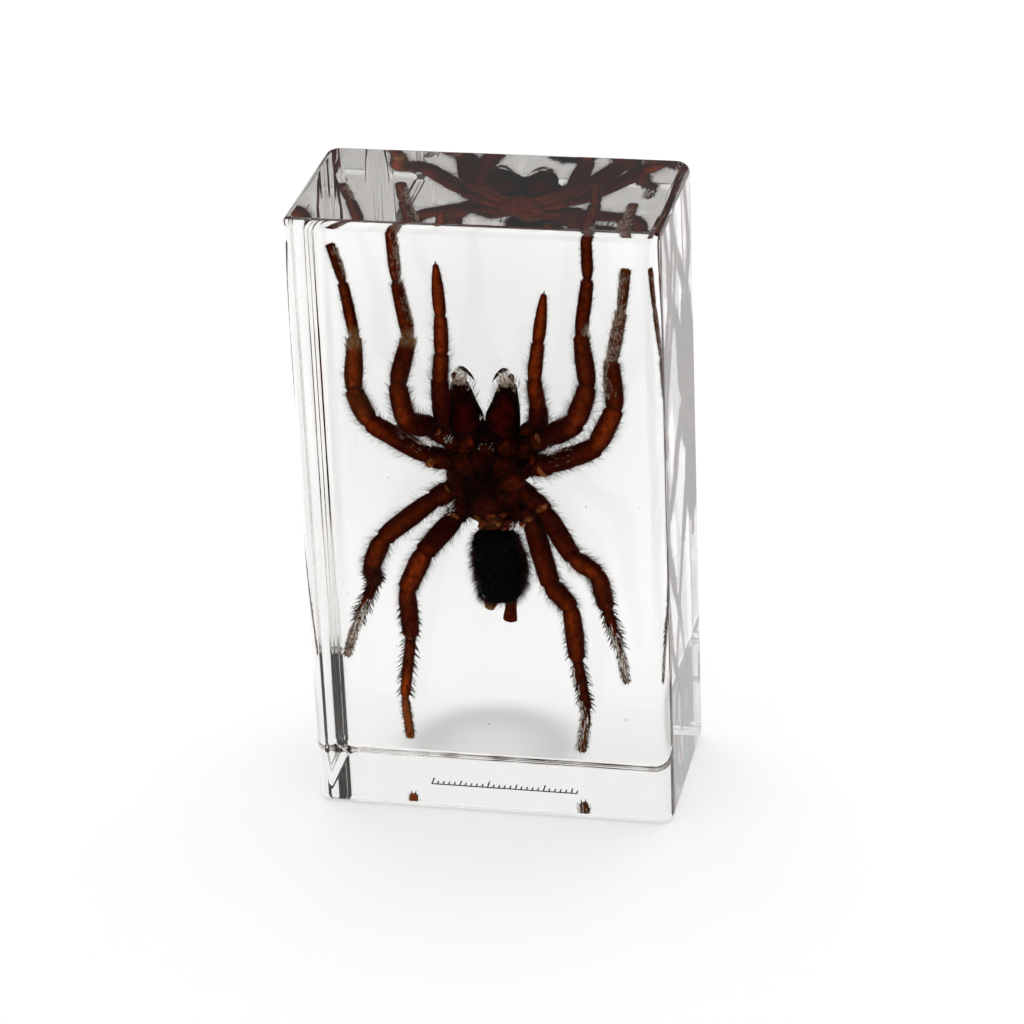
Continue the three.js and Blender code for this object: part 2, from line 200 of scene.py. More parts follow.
# The coat of a limb: kind, hairs on a leg and on a palp, least and greatest length, least and
# greatest lean towards the foot, and radius
COAT = [
    ("short", 2600, 1700, 0.5, 1.2, 1.2, 2.4, 0.024), ("long", 2800, 1200, 0.7, 2.7, 0.2, 1.1, 0.021),
]
PELT_HAIRS = 6500
CARAPACE_HAIRS = 1500
JAW_HAIRS = 420
JAW_HAIR_RADIUS = 2.7
# Thorns on the last segments of the hind legs: the segment, where they begin on it, how many
# stand in a row and how long they are
THORN_ROWS = [(3, 0.4, 9, 1.3), (4, 0.02, 17, 1.75), (5, 0, 8, 0.9)]
# A claw from root to point: along the foot, aside, back and radius
CLAW_LINE = [(0, 0, 0, 0.2), (0.4, 0.06, 0, 0.15), (0.65, 0.1, 0.1, 0.09), (0.8, 0.1, 0.28, 0.03)]
# The claws of the fore legs are short, hidden in the brush of the foot
FORE_CLAW_SHARE = 0.55

# The trunk
CARAPACE = {"centre": (-1.1, 1, 60), "width": 13.8, "length": 15.6, "dome": 4.4, "belly": 2.2}
# How far the fovea lies below the carapace's middle, as a share of its half length, and the
# furrows that run out from it, in degrees from the right
FOVEA_DOWN = 0.08
FURROWS = (22, -12, -46, 158, -168, -134)
# Where light comes through the carapace: across, up, how wide and how strong
CARAPACE_GLOW = [
    (3.6, 59.8, 1.5, 0.4), (-5.3, 62.3, 1.4, 0.25), (-1.1, 55, 1.6, 0.22), (4.8, 57.4, 1.2, 0.12),
    (-2.8, 63.4, 1.2, 0.15), (1.8, 63, 1.3, 0.14), (-6, 58, 1.2, 0.16), (1.6, 56.6, 1.3, 0.16),
]
# Lumps of the head and the hips round the carapace: centre, half sizes, tilt in degrees and light
TRUNK_LUMPS = [
    ((-3.7, -0.9, 66.7), (1.35, 1.5, 2.3), 35, 0.45), ((2.9, -0.8, 66.4), (1.9, 1.4, 1.8), -20, 0.25),
    ((-0.5, -0.7, 67.4), (2.9, 2.2, 1.5), 0, 0.03), ((-6.2, 1, 66), (1.9, 1.6, 2.1), 20, 0.14),
    ((5.6, 1, 65.8), (1.9, 1.6, 2.2), -15, 0.14), ((-0.9, 1.6, 53.4), (4, 2.2, 2), 0, 0.16),
    ((-4, 2.4, 54), (2.3, 1.8, 1.9), 30, 0.12), ((3.2, 2.2, 53.2), (2.6, 1.9, 2.4), -30, 0.12),
    ((7.2, 1.2, 63.6), (0.7, 1.5, 2), 10, 0.3), ((5.9, 0.8, 62), (1.1, 1.3, 2), 15, 0.12),
]
# Pale lumps of dried tissue on the stalk: centre, half sizes, light and how pale
STALK_LUMPS = [
    ((0.9, -0.5, 51.6), (0.6, 0.5, 0.45), 0.3, 0.7), ((0.2, -0.6, 52.1), (0.4, 0.4, 0.4), 0.3, 0.35),
    ((-1.9, 0.3, 51.6), (0.8, 0.7, 1), 0.3, 0.15), ((-2.4, 0.5, 50.6), (0.5, 0.5, 0.5), 0.3, 0.5),
    ((-0.6, -0.2, 52.9), (1.2, 0.6, 0.6), 0.25, 0.1), ((2.6, 0.3, 51.4), (1.3, 0.8, 1), 0.1, 0.05),
    ((5, 0.9, 51.4), (0.7, 0.6, 0.6), 0.9, 0.05), ((1.7, -0.2, 50.6), (0.5, 0.4, 0.3), 0.2, 0.4),
    ((-1.6, -1, 54.2), (1, 0.5, 0.8), 0.25, 0.12), ((0.6, -1.2, 54.6), (0.9, 0.5, 0.7), 0.3, 0.1),
    ((-0.2, -1, 53.4), (0.9, 0.5, 0.5), 0.3, 0.2), ((1.8, -0.9, 53.6), (0.7, 0.5, 0.6), 0.2, 0.08),
    ((-2.7, 0, 52.8), (0.7, 0.6, 1), 0.3, 0.3),
]
# The stalk and the spinnerets as lines of points with radii
STALK_LINE = [(-0.6, 1.8, 54.5, 3), (-0.5, 1.6, 52.8, 2.5), (-0.1, 1.6, 51.2, 2.2), (0.4, 1.8, 49.6, 2.6)]
SHORT_SPINNERET = [(-0.6, 1.6, 38.6, 1.5), (-1.2, 1.7, 36.2, 1.35), (-1.6, 1.8, 34.5, 0.85)]
LONG_SPINNERET = [
    (2.5, 2, 39, 0.85), (2.4, 2.1, 37, 0.88), (2.1, 2.3, 34.8, 1.02), (1.9, 2.4, 33, 1.2),
    (1.8, 2.4, 32.4, 1.26), (1.78, 2.4, 32.2, 1.1),
]
STERNUM = {"centre": (-0.7, 4.2, 60), "width": 9, "length": 11, "height": 6.4}
EYE_MOUND = {"centre": (-0.4, -2.4, 66.3), "width": 3, "length": 2, "height": 2.4}
ABDOMEN = {"centre": (0.8, 1.2, 43.2), "width": 9.6, "height": 8.6}
# The shrunken abdomen, as heights and its left and right edges there
ABDOMEN_OUTLINE = [
    (49.9, -2.2, 3.1), (49.2, -2.9, 3.9), (48.2, -3.7, 4.1), (47, -4, 4.35), (45.8, -3.85, 4.9),
    (44.6, -3.9, 5.2), (43.4, -4.05, 5.3), (42.2, -3.75, 5.3), (41, -3.6, 5.15), (39.8, -3.5, 4.85),
    (38.6, -3.35, 4.2), (37.6, -3.1, 3.2), (36.8, -2.6, 2.2), (36.3, -1.7, 1.2),
]
# Eyes on their mound: across, up and radius
EYES = [
    (-1.1, 0.2, 0.2), (-0.55, 1.15, 0.16), (0.15, 1.2, 0.16), (0.62, 0.5, 0.2),
    (1.15, 1.25, 0.14), (1.3, 0.15, 0.17), (-0.95, 0.75, 0.14), (0.95, 0.8, 0.12),
]

# Each jaw: its side, and the upright plane that its places are counted from
JAWS = ((-1, -0.7), (1, -1.2))
# A jaw from hip to tip: out from its plane, back, height, radius and light
JAW_LINE = [
    (2.7, 3, 65.6, 2.3, 0.05), (2.85, 2.2, 67.4, 2.8, 0.15), (3.1, 1.4, 69.4, 3.1, 0.4),
    (3.5, 1.3, 71.4, 2.95, 0.55), (3.95, 1.6, 73.4, 2.45, 0.45), (4.2, 2, 75.4, 2.0, 0.25),
    (4.4, 2.3, 76.8, 1.55, 0.1), (4.45, 2.7, 77.8, 0.9, 0.1),
]
# A fang from root to point: out, back, height and radius
FANG_LINE = [
    (4.5, 1.9, 79.5, 0.2), (4.25, 1.7, 79.85, 0.34), (3.8, 1.7, 79.85, 0.4), (3.2, 1.8, 79.4, 0.38),
    (2.6, 2, 78.75, 0.27), (2.1, 2.2, 78.05, 0.15), (1.8, 2.3, 77.4, 0.04),
]
# The knob beside a jaw's tip: its place and half sizes
JAW_KNOB = ((5.05, 1.8, 78.2), (0.65, 0.7, 0.95))

# Painted shades on the floor, where the block's shadow would fall: x, y, half width, half depth and turn in
# degrees
FOOT_SHADE = (-5.3, 20, 16.5, 15.5, 0)
BROAD_SHADE = (-39, 172, 50, 135, 12.6)
# The painted shade at the foot shows only from the block's back face on
SHADE_FROM, SHADE_FULL = 15, 21

# The camera's turn, tilt and roll in degrees, its lens in pixels and its place in millimetres
CAMERA_AZIMUTH = 12.61
CAMERA_ELEVATION = 26.45
CAMERA_ROLL = -2.48
CAMERA_FOCAL_PX = 4000.5
CAMERA_PLACE = (136.18, -601.04, 356.74)
PICTURE_PX = 1024
SENSOR_MM = 36


def to_metres(points):
    return np.asarray(points, float) * MM


def to_linear(hex_colour):
    """An sRGB hex colour as linear RGBA."""
    shares = [int(hex_colour[i:i + 2], 16) / 255 for i in (1, 3, 5)]
    linear = [c / 12.92 if c <= 0.04045 else ((c + 0.055) / 1.055) ** 2.4 for c in shares]
    return (*linear, 1.0)


def unit(vectors):
    length = np.linalg.norm(vectors, axis=-1, keepdims=True)
    return vectors / np.maximum(length, 1e-9)


def wobble(point, size, seed=0.0):
    """Smooth noise from -1 to 1 whose lumps are about size millimetres across."""
    return noise.noise(Vector((point[0] + seed, point[1] - seed, point[2])) / size)


# Meshes


def make_piece(name, points, faces, material, smooth=True, shades=None, rides=True):
    """A mesh object from points in millimetres. shades maps an attribute's name to its values."""
    mesh = bpy.data.meshes.new(name)
    if isinstance(faces, list):
        mesh.from_pydata(to_metres(points).tolist(), [], faces)
    else:
        corners = faces.shape[1]
        mesh.vertices.add(len(points))
        mesh.vertices.foreach_set("co", to_metres(points).astype(np.float32).ravel())
        mesh.loops.add(faces.size)
        mesh.loops.foreach_set("vertex_index", faces.astype(np.int32).ravel())
        mesh.polygons.add(len(faces))
        mesh.polygons.foreach_set("loop_start", np.arange(0, faces.size, corners, dtype=np.int32))
        mesh.update(calc_edges=True)
    mesh.validate()
    mesh.polygons.foreach_set("use_smooth", [smooth] * len(mesh.polygons))
    for shade, values in (shades or {}).items():
        layer = mesh.attributes.new(shade, "FLOAT", "POINT")
        layer.data.foreach_set("value", np.asarray(values, np.float32))
    mesh.materials.append(material)
    piece = bpy.data.objects.new(name, mesh)
    bpy.context.scene.collection.objects.link(piece)
    if rides:
        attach(piece, BODY)
    return piece


class Shell:
    """Points and faces that are gathered from several closed forms and made into one mesh."""

    def __init__(self):
        self.points = []
        self.faces = []
        self.shades = {"amber": [], "pale": []}

    def add(self, points, faces, amber=0.3, pale=0.0):
        start = len(self.points)
        self.points.extend(np.asarray(points, float).tolist())
        self.faces.extend([tuple(start + corner for corner in face) for face in faces])
        for shade, value in (("amber", amber), ("pale", pale)):
            self.shades[shade].extend(np.broadcast_to(value, len(points)).tolist())

    def piece(self, name, material, smooth=True):
        return make_piece(name, self.points, self.faces, material, smooth, self.shades)


def tube_faces(rings, sides):
    """Faces of a tube of rings of points, followed by one point at its start and one at its end."""
    faces = []
    for ring in range(rings - 1):
        for side in range(sides):
            beside = (side + 1) % sides
            faces.append((
                ring * sides + side, ring * sides + beside,
                (ring + 1) * sides + beside, (ring + 1) * sides + side,
            ))
    start, end, last = rings * sides, rings * sides + 1, (rings - 1) * sides
    for side in range(sides):
        beside = (side + 1) % sides
        faces.append((start, beside, side))
        faces.append((end, last + side, last + beside))
    return faces


def sweep_frames(centres):
    """Headings and two directions across for each point of a line, without twist."""
    centres = np.asarray(centres, float)
    headings = unit(np.gradient(centres, axis=0))
    across = np.cross((0, 1, 0), headings[0])
    if np.linalg.norm(across) < 1e-3:
        across = np.cross((1, 0, 0), headings[0])
    frames = []
    for heading in headings:
        across = unit(across - heading * (across @ heading))
        frames.append((across, np.cross(heading, across)))
    return headings, np.array(frames)


def swept(centres, radii, sides, bump=None, squash=1.0):
    """A closed tube along centres. Its radius grows by the share bump(point) at each point."""
    headings, frames = sweep_frames(centres)
    angles = np.arange(sides) * 2 * math.pi / sides
    points = []
    for centre, radius, (across, third) in zip(np.asarray(centres, float), radii, frames):
        for angle in angles:
            out = across * math.cos(angle) + third * math.sin(angle) * squash
            point = centre + out * radius
            if bump:
                point = point + out * bump(point) * radius
            points.append(point)
    points.append(np.asarray(centres[0]) - headings[0] * radii[0] * 0.4)
    points.append(np.asarray(centres[-1]) + headings[-1] * radii[-1] * 0.4)
    return np.array(points), tube_faces(len(centres), sides)


def ball(centre, size, columns=24, rows=14, rule=None):
    """A closed ball with half sizes size. rule(unit point) gives a factor for its size there."""
    points = [(0, 0, 1)]
    for row in range(1, rows):
        tilt = math.pi * row / rows
        for column in range(columns):
            turn = 2 * math.pi * column / columns
            points.append((
                math.sin(tilt) * math.cos(turn), math.sin(tilt) * math.sin(turn), math.cos(tilt),
            ))
    points.append((0, 0, -1))
    faces = []
    last = len(points) - 1
    for column in range(columns):
        beside = (column + 1) % columns
        faces.append((0, 1 + column, 1 + beside))
        faces.append((last, last - columns + beside, last - columns + column))
        for row in range(rows - 2):
            a, b = 1 + row * columns, 1 + (row + 1) * columns
            faces.append((a + column, b + column, b + beside, a + beside))
    points = np.array(points)
    factors = np.array([rule(p) for p in points])[:, None] if rule else 1.0
    return points * factors * np.asarray(size) + np.asarray(centre), faces


class Limb:
    """A jointed limb: its centreline, the frames across it and its radius, ring by ring."""

    RINGS_A_SEGMENT = 18
    # Share of the light that the thick skin of a joint takes away
    JOINT_DIM = 0.45
    # Share of the thinner of two segments in the radius where the thicker one ends
    JOINT_THIN = 0.6
    # How far along the limb a joint's bend reaches to either side
    BEND = 2.0

    def __init__(self, name, joints, radii, amber, sides=22):
        self.name = name
        self.joints = np.array(joints, float)
        self.radii = radii
        self.sides = sides
        lengths = np.linalg.norm(np.diff(self.joints, axis=0), axis=1)
        self.stations = np.concatenate([[0], np.cumsum(lengths)])
        foot = len(radii)
        shares = np.arange(foot * self.RINGS_A_SEGMENT) / self.RINGS_A_SEGMENT
        self.shares = np.concatenate([shares, [foot - 0.03, foot - 0.012, foot - 0.003]])
        self.ring_radii = np.array([self.radius(share) for share in self.shares])
        self.ring_radii[-2:] *= (0.8, 0.5)
        inside = self.shares % 1
        near_joint = np.clip(1 - inside / 0.1, 0, 1) + np.clip((inside - 0.88) / 0.12, 0, 1)
        middles = np.arange(foot) + 0.5
        self.light = np.interp(self.shares, middles, amber) * (1 - self.JOINT_DIM * near_joint)
        self.centres = self.along(self.shares)
        self.headings, self.frames = sweep_frames(self.centres)

    def radius(self, share):
        """Radius at a place: each segment swells in its middle and has a fine collar at its end."""
        segment = min(int(share), len(self.radii) - 1)
        inside = share - segment
        full = self.radii[segment]
        before = min(full, self.radii[segment - 1]) if segment else full
        after = self.radii[segment + 1] if segment + 1 < len(self.radii) else full
        start = before * (0.7 if self.name.startswith("leg") and segment == 5 else 0.88)
        thin = self.JOINT_THIN * (0.45 if self.name[:5] in ("leg_3", "leg_4") and segment == 3 else 1)
        end = thin * min(full, after) + (1 - thin) * full
        if not self.name.startswith("leg") and segment + 1 == len(self.radii):
            end = full * 0.4
        swell = 0.32 if segment > 1 else 0.45
        edge, share = (start, inside / swell) if inside < swell else (end, (1 - inside) / (1 - swell))
        ease = 1 - (1 - min(1, share)) ** 2
        # A fine collar rings the end of each segment, and a waist parts the two rings of the hip
        collar = 0.05 * math.exp(-(((inside - 0.955) / 0.02) ** 2)) - 0.04 * math.exp(-((inside / 0.02) ** 2))
        waist = -0.16 * math.exp(-(((inside - 0.58) / 0.045) ** 2)) if segment == 0 else 0
        return (edge + (full * 1.05 - edge) * ease) * (1 + collar + waist)

    def along(self, shares):
        """Points on the centreline, which turns its joints in short bends."""
        reach = np.interp(shares, range(len(self.stations)), self.stations)
        room = np.minimum(np.minimum(reach, self.stations[-1] - reach), self.BEND)
        points = np.zeros((len(reach), 3))
        offsets = np.linspace(-1, 1, 13)
        for offset in offsets:
            for axis in range(3):
                points[:, axis] += np.interp(reach + offset * room, self.stations, self.joints[:, axis])
        return points / len(offsets)

    def skin(self):
        def bump(point):
            grooves = 0.03 * wobble(point, 1.1) + 0.02 * wobble(point, 0.45, 7)
            return grooves + 0.08 * wobble(point, 3.2, 3)

        return swept(self.centres, self.ring_radii, self.sides, bump)

    def light_by_point(self):
        """Painted light: the skin on the back and the belly side of a limb, which faces the block's front or
        back, is lit amber, and the edges between are painted dark.
        """
        angles = np.arange(self.sides) * 2 * math.pi / self.sides
        out = (
            self.frames[:, 0, None, :] * np.cos(angles)[None, :, None]
            + self.frames[:, 1, None, :] * np.sin(angles)[None, :, None]
        )
        painted_facing_light = 0.05 + 1.25 * np.abs(out[:, :, 1]) ** 5
        light = (self.light[:, None] * painted_facing_light).ravel()
        return np.concatenate([light, self.light[:1] * 0.5, self.light[-1:] * 0.5])

    def spots(self, shares, angles):
        """Points on the skin, the directions out of it and those towards the foot."""
        at = [np.interp(shares, self.shares, self.centres[:, axis]) for axis in range(3)]
        heading = [np.interp(shares, self.shares, self.headings[:, axis]) for axis in range(3)]
        across = [np.interp(shares, self.shares, self.frames[:, 0, axis]) for axis in range(3)]
        third = [np.interp(shares, self.shares, self.frames[:, 1, axis]) for axis in range(3)]
        radius = np.interp(shares, self.shares, self.ring_radii)
        at, heading = np.stack(at, 1), unit(np.stack(heading, 1))
        out = unit(
            np.stack(across, 1) * np.cos(angles)[:, None]
            + np.stack(third, 1) * np.sin(angles)[:, None]
        )
        return at + out * radius[:, None], out, heading

    def turn_to(self, shares, side):
        """The angles round the limb at which its skin faces a side."""
        _, across, _ = self.spots(shares, np.zeros(len(shares)))
        _, third, _ = self.spots(shares, np.full(len(shares), math.pi / 2))
        return np.arctan2(third @ side, across @ side)


def hairs(roots, directions, lengths, radii, sag, rings=3, sides=3):
    """Tapered hairs that bend by sag, all in one mesh: its points and its faces."""
    count = len(roots)
    directions = unit(directions)
    across = unit(np.cross(directions, unit(sag + np.array((0.01, 0.02, 0.03)))))
    third = np.cross(directions, across)
    points = np.zeros((count, rings * sides + 1, 3))
    for ring in range(rings):
        share = ring / rings
        centre = roots + directions * (lengths * share)[:, None] + sag * (share ** 2 * lengths)[:, None]
        width = radii * (1 - 0.75 * share)
        for side in range(sides):
            angle = 2 * math.pi * side / sides
            offset = across * math.cos(angle) + third * math.sin(angle)
            points[:, ring * sides + side] = centre + offset * width[:, None]
    points[:, -1] = roots + directions * lengths[:, None] + sag * lengths[:, None]
    one = []
    for ring in range(rings - 1):
        for side in range(sides):
            beside = (side + 1) % sides
            a, b = ring * sides, (ring + 1) * sides
            one += [(a + side, a + beside, b + beside), (a + side, b + beside, b + side)]
    for side in range(sides):
        one.append(((rings - 1) * sides + side, (rings - 1) * sides + (side + 1) % sides, rings * sides))
    one += [(0, side + 1, side) for side in range(1, sides - 1)]
    faces = np.array(one)[None] + (np.arange(count) * (rings * sides + 1))[:, None, None]
    return points.reshape(-1, 3), faces.reshape(-1, 3)


def joined(batches):
    """The points and faces of one mesh, from several pairs of points and faces."""
    starts = np.cumsum([0] + [len(points) for points, _ in batches])
    points = np.concatenate([points for points, _ in batches])
    return points, np.concatenate([faces + start for (_, faces), start in zip(batches, starts)])


# Materials


def add_node(tree, kind, inputs=None, **settings):
    """Adds a node with its settings. An input that is another node's output is linked."""
    made = tree.nodes.new(kind)
    for name, value in settings.items():
        setattr(made, name, value)
    for name, value in (inputs or {}).items():
        if isinstance(value, bpy.types.NodeSocket):
            tree.links.new(value, made.inputs[name])
        else:
            made.inputs[name].default_value = value
    return made


def mix_colours(tree, share, first, second):
    """The socket of a mix of two colours, each a value or another node's output."""
    mix = add_node(tree, "ShaderNodeMix", {"Factor": share}, data_type="RGBA")
    ends = [socket for socket in mix.inputs if socket.type == "RGBA"]
    for socket, end in zip(ends, (first, second)):
        if isinstance(end, bpy.types.NodeSocket):
            tree.links.new(end, socket)
        else:
            socket.default_value = end
    return next(socket for socket in mix.outputs if socket.type == "RGBA")


def per_metre(size_mm):
    """A texture's scale for lumps of this size."""
    return 1 / (size_mm * MM)


def new_material(name):
    material = bpy.data.materials.new(name)
    material.use_nodes = True
    material.node_tree.nodes.clear()
    return material, material.node_tree


def ramp(tree, value, start, end, first=0.0, last=1.0, soft=True):
    """The socket of a value that goes from first to last while another goes from start to end."""
    made = add_node(tree, "ShaderNodeMapRange", {
        "Value": value,
        "From Min": start,
        "From Max": end,
        "To Min": first,
        "To Max": last,
    }, interpolation_type="SMOOTHSTEP" if soft else "LINEAR")
    return made.outputs["Result"]


def grain(tree, size_mm, detail, strength, depth_mm):
    """The socket of a surface roughened by lumps of a size and depth."""
    coords = add_node(tree, "ShaderNodeTexCoord")
    pits = add_node(tree, "ShaderNodeTexNoise", {
        "Vector": coords.outputs["Object"],
        "Scale": per_metre(size_mm),
        "Detail": detail,
    })
    bump = add_node(tree, "ShaderNodeBump", {
        "Height": pits.outputs["Fac"],
        "Strength": strength,
        "Distance": depth_mm * MM,
    })
    return bump.outputs["Normal"]


def mottle(tree, size_mm, dark, light, ends=(0.0, 1.0)):
    """The socket of a colour that clouds between dark and light, over lumps of this size."""
    coords = add_node(tree, "ShaderNodeTexCoord")
    cloud = add_node(tree, "ShaderNodeTexNoise", {
        "Vector": coords.outputs["Object"],
        "Scale": per_metre(size_mm),
    })
    colour = add_node(tree, "ShaderNodeValToRGB", {"Fac": cloud.outputs["Fac"]})
    for index, (end, shade) in enumerate(zip(ends, (dark, light))):
        colour.color_ramp.elements[index].position = end
        colour.color_ramp.elements[index].color = to_linear(shade)
    return colour.outputs["Color"]


def thin_wall(tree, surface, light, through):
    """Ends a material that scatters some light at its surface and lets a share through."""
    both = add_node(tree, "ShaderNodeMixShader", {
        "Fac": through,
        1: surface.outputs["BSDF"],
        2: light.outputs["BSDF"],
    })
    add_node(tree, "ShaderNodeOutputMaterial", {"Surface": both.outputs["Shader"]})


def mottled_solid(name, size_mm, dark, light, roughness, ends=(0.0, 1.0)):
    """A solid, opaque stuff whose colour clouds a little."""
    material, tree = new_material(name)
    surface = add_node(tree, "ShaderNodeBsdfPrincipled", {
        "Base Color": mottle(tree, size_mm, dark, light, ends),
        "Roughness": roughness,
    })
    add_node(tree, "ShaderNodeOutputMaterial", {"Surface": surface.outputs["BSDF"]})
    return material


def polyester_resin():
    """Cast polyester resin, sanded and buffed: water clear, with a glassy skin and a faint warm
    grey where one looks through much of it."""
    material, tree = new_material("cast_polyester_resin_polished")
    surface = add_node(tree, "ShaderNodeBsdfPrincipled", {
        "Base Color": (1, 1, 1, 1),
        "Transmission Weight": 1.0,
        "Roughness": 0.0,
        "IOR": 1.55,
    })
    depth = add_node(tree, "ShaderNodeVolumeAbsorption", {
        "Color": to_linear("#d9c9a8"),
        "Density": 1.0,
    })
    add_node(tree, "ShaderNodeOutputMaterial", {
        "Surface": surface.outputs["BSDF"],
        "Volume": depth.outputs["Volume"],
    })
    return material


def trapped_air():
    """Air in the resin: a bubble that mirrors like quicksilver at a slant."""
    material, tree = new_material("air_bubble_in_resin")
    surface = add_node(tree, "ShaderNodeBsdfPrincipled", {
        "Base Color": to_linear("#f4f0ea"),
        "Transmission Weight": 0.72,
        "Roughness": 0.2,
        "IOR": 0.645,
        "Normal": grain(tree, 0.35, 3.0, 0.6, 0.12),
    })
    add_node(tree, "ShaderNodeOutputMaterial", {"Surface": surface.outputs["BSDF"]})
    return material


def cuticle(name, dark, glow, through, roughness=0.42, mottle_mm=1.6, patchy=(0.35, 1.25)):
    """Dried spider cuticle soaked in resin: a thin horny wall, near black where the flesh behind it has dried
    on, and amber where light comes through. The mesh says how much in amber, which also holds painted light
    and shade, and in pale where the soft skin of a joint shows."""
    material, tree = new_material(name)
    coords = add_node(tree, "ShaderNodeTexCoord")
    amber = add_node(tree, "ShaderNodeAttribute", attribute_name="amber")
    pale = add_node(tree, "ShaderNodeAttribute", attribute_name="pale")
    patches = add_node(tree, "ShaderNodeTexNoise", {
        "Vector": coords.outputs["Object"],
        "Scale": per_metre(mottle_mm),
        "Detail": 5.0,
        "Roughness": 0.6,
    })
    share = add_node(tree, "ShaderNodeMath", {
        0: amber.outputs["Fac"],
        1: ramp(tree, patches.outputs["Fac"], 0.32, 0.68, *patchy, soft=False),
    }, operation="MULTIPLY", use_clamp=True)
    colour = mix_colours(tree, share.outputs["Value"], to_linear(dark), to_linear(glow))
    skin = mix_colours(tree, pale.outputs["Fac"], colour, to_linear("#e2b06c"))
    pitted = grain(tree, 0.22, 2.0, 0.5, 0.06)
    wall = add_node(tree, "ShaderNodeBsdfPrincipled", {
        "Base Color": skin,
        "Roughness": roughness,
        "IOR": 1.56,
        "Specular IOR Level": 0.02,
        "Normal": pitted,
    })
    light = add_node(tree, "ShaderNodeBsdfTranslucent", {
        "Color": skin,
        "Normal": pitted,
    })
    thin_wall(tree, wall, light, through)
    return material


def hair_material(name, dark, light, roughness=0.5, through=0.2, tuft_mm=2.5):
    """Spider bristles, dry and dull: dark, and rustier in the tufts that are thin enough for
    light."""
    material, tree = new_material(name)
    colour = mottle(tree, tuft_mm, dark, light, (0.35, 0.7))
    surface = add_node(tree, "ShaderNodeBsdfPrincipled", {
        "Base Color": colour,
        "Roughness": roughness,
        "Specular IOR Level": 0.03,
    })
    glow = add_node(tree, "ShaderNodeBsdfTranslucent", {"Color": colour})
    thin_wall(tree, surface, glow, through)
    return material


def silvered_hair(name, thin, full, painted_glow):
    """Bristles sheathed in trapped air, whose mirroring of the light is painted: pale streaks that glow a
    little with a painted milky gleam, and brown grey where the sheath is thin."""
    material, tree = new_material(name)
    colour = mottle(tree, 0.6, thin, full, (0.36, 0.52))
    sheath = add_node(tree, "ShaderNodeBsdfPrincipled", {
        "Base Color": colour,
        "Roughness": 0.35,
        "Emission Color": colour,
        "Emission Strength": painted_glow,
    })
    glow = add_node(tree, "ShaderNodeBsdfTranslucent", {"Color": colour})
    thin_wall(tree, sheath, glow, 0.4)
    return material


def fang_horn():
    """Solid black horn, smooth and hard: it shows only as a glossy dark line."""
    return mottled_solid("fang_horn_black", 0.6, "#050304", "#1c0a07", 0.18)


def eye_lens():
    """Eye lenses of a dried spider: hard and glossy, coloured a greenish white that paints their glints."""
    return mottled_solid("eye_lens_clouded", 0.3, "#3c4433", "#a9b5a0", 0.15, (0.4, 0.6))


def printing_ink():
    """Black pad-printing ink: dense, dull and a little uneven."""
    return mottled_solid("pad_printing_ink_black", 0.5, "#08090b", "#1a1c20", 0.6)


def pale_floor(colour, glow):
    """Opal acrylic sheet, lit from below: an even white, a little clouded, with a painted soft shade where a
    clear block throws its shadow behind itself, darkest in an arc near its foot. The painted shade dims both
    the sheet's colour and its glow."""
    material, tree = new_material("opal_acrylic_lit")
    coords = add_node(tree, "ShaderNodeTexCoord")
    cloud = add_node(tree, "ShaderNodeTexNoise", {
        "Vector": coords.outputs["Object"],
        "Scale": per_metre(120),
    })
    clouded = mix_colours(tree, cloud.outputs["Fac"], colour, [min(1, c * 1.01) for c in colour])

    def reach(x, y, wide, deep, turn):
        """How far a place is from a spot on the floor, as a share of the spot's half sizes."""
        placed = add_node(tree, "ShaderNodeMapping", {
            "Vector": coords.outputs["Object"],
            "Location": (x * MM, y * MM, 0),
            "Rotation": (0, 0, math.radians(turn)),
            "Scale": (wide * MM, deep * MM, 1),
        }, vector_type="TEXTURE")
        flat = add_node(tree, "ShaderNodeVectorMath", {
            0: placed.outputs["Vector"],
            1: (1, 1, 0),
        }, operation="MULTIPLY")
        away = add_node(tree, "ShaderNodeVectorMath", {0: flat.outputs["Vector"]}, operation="LENGTH")
        return away.outputs["Value"]

    def times(first, second):
        made = add_node(tree, "ShaderNodeMath", {0: first, 1: second}, operation="MULTIPLY")
        return made.outputs["Value"]

    # Painted shade: a dark arc near the block's foot and a broad shade behind it, put into the sheet's colour
    # and its glow
    away = reach(*FOOT_SHADE)
    split = add_node(tree, "ShaderNodeSeparateXYZ", {"Vector": coords.outputs["Object"]})
    behind = ramp(tree, split.outputs["Y"], SHADE_FROM * MM, SHADE_FULL * MM)
    dense = ramp(tree, away, 0.1, 0.85, 0.16, 0.32)
    arc = times(times(dense, ramp(tree, away, 0.7, 1.2, 1.0, 0.0)), behind)
    broad = ramp(tree, reach(*BROAD_SHADE), 0.3, 1.06, 0.15, 0.0)
    shade = add_node(tree, "ShaderNodeMath", {0: arc, 1: broad}, operation="ADD", use_clamp=True)
    tone = mix_colours(tree, shade.outputs["Value"], clouded, (0, 0, 0, 1))
    lamp = mix_colours(tree, shade.outputs["Value"], (1, 1, 1, 1), (0, 0, 0, 1))
    surface = add_node(tree, "ShaderNodeBsdfPrincipled", {
        "Base Color": tone,
        "Roughness": 0.9,
        "Specular IOR Level": 0.1,
        "Emission Color": lamp,
        "Emission Strength": glow,
    })
    add_node(tree, "ShaderNodeOutputMaterial", {"Surface": surface.outputs["BSDF"]})
    return material


# The block


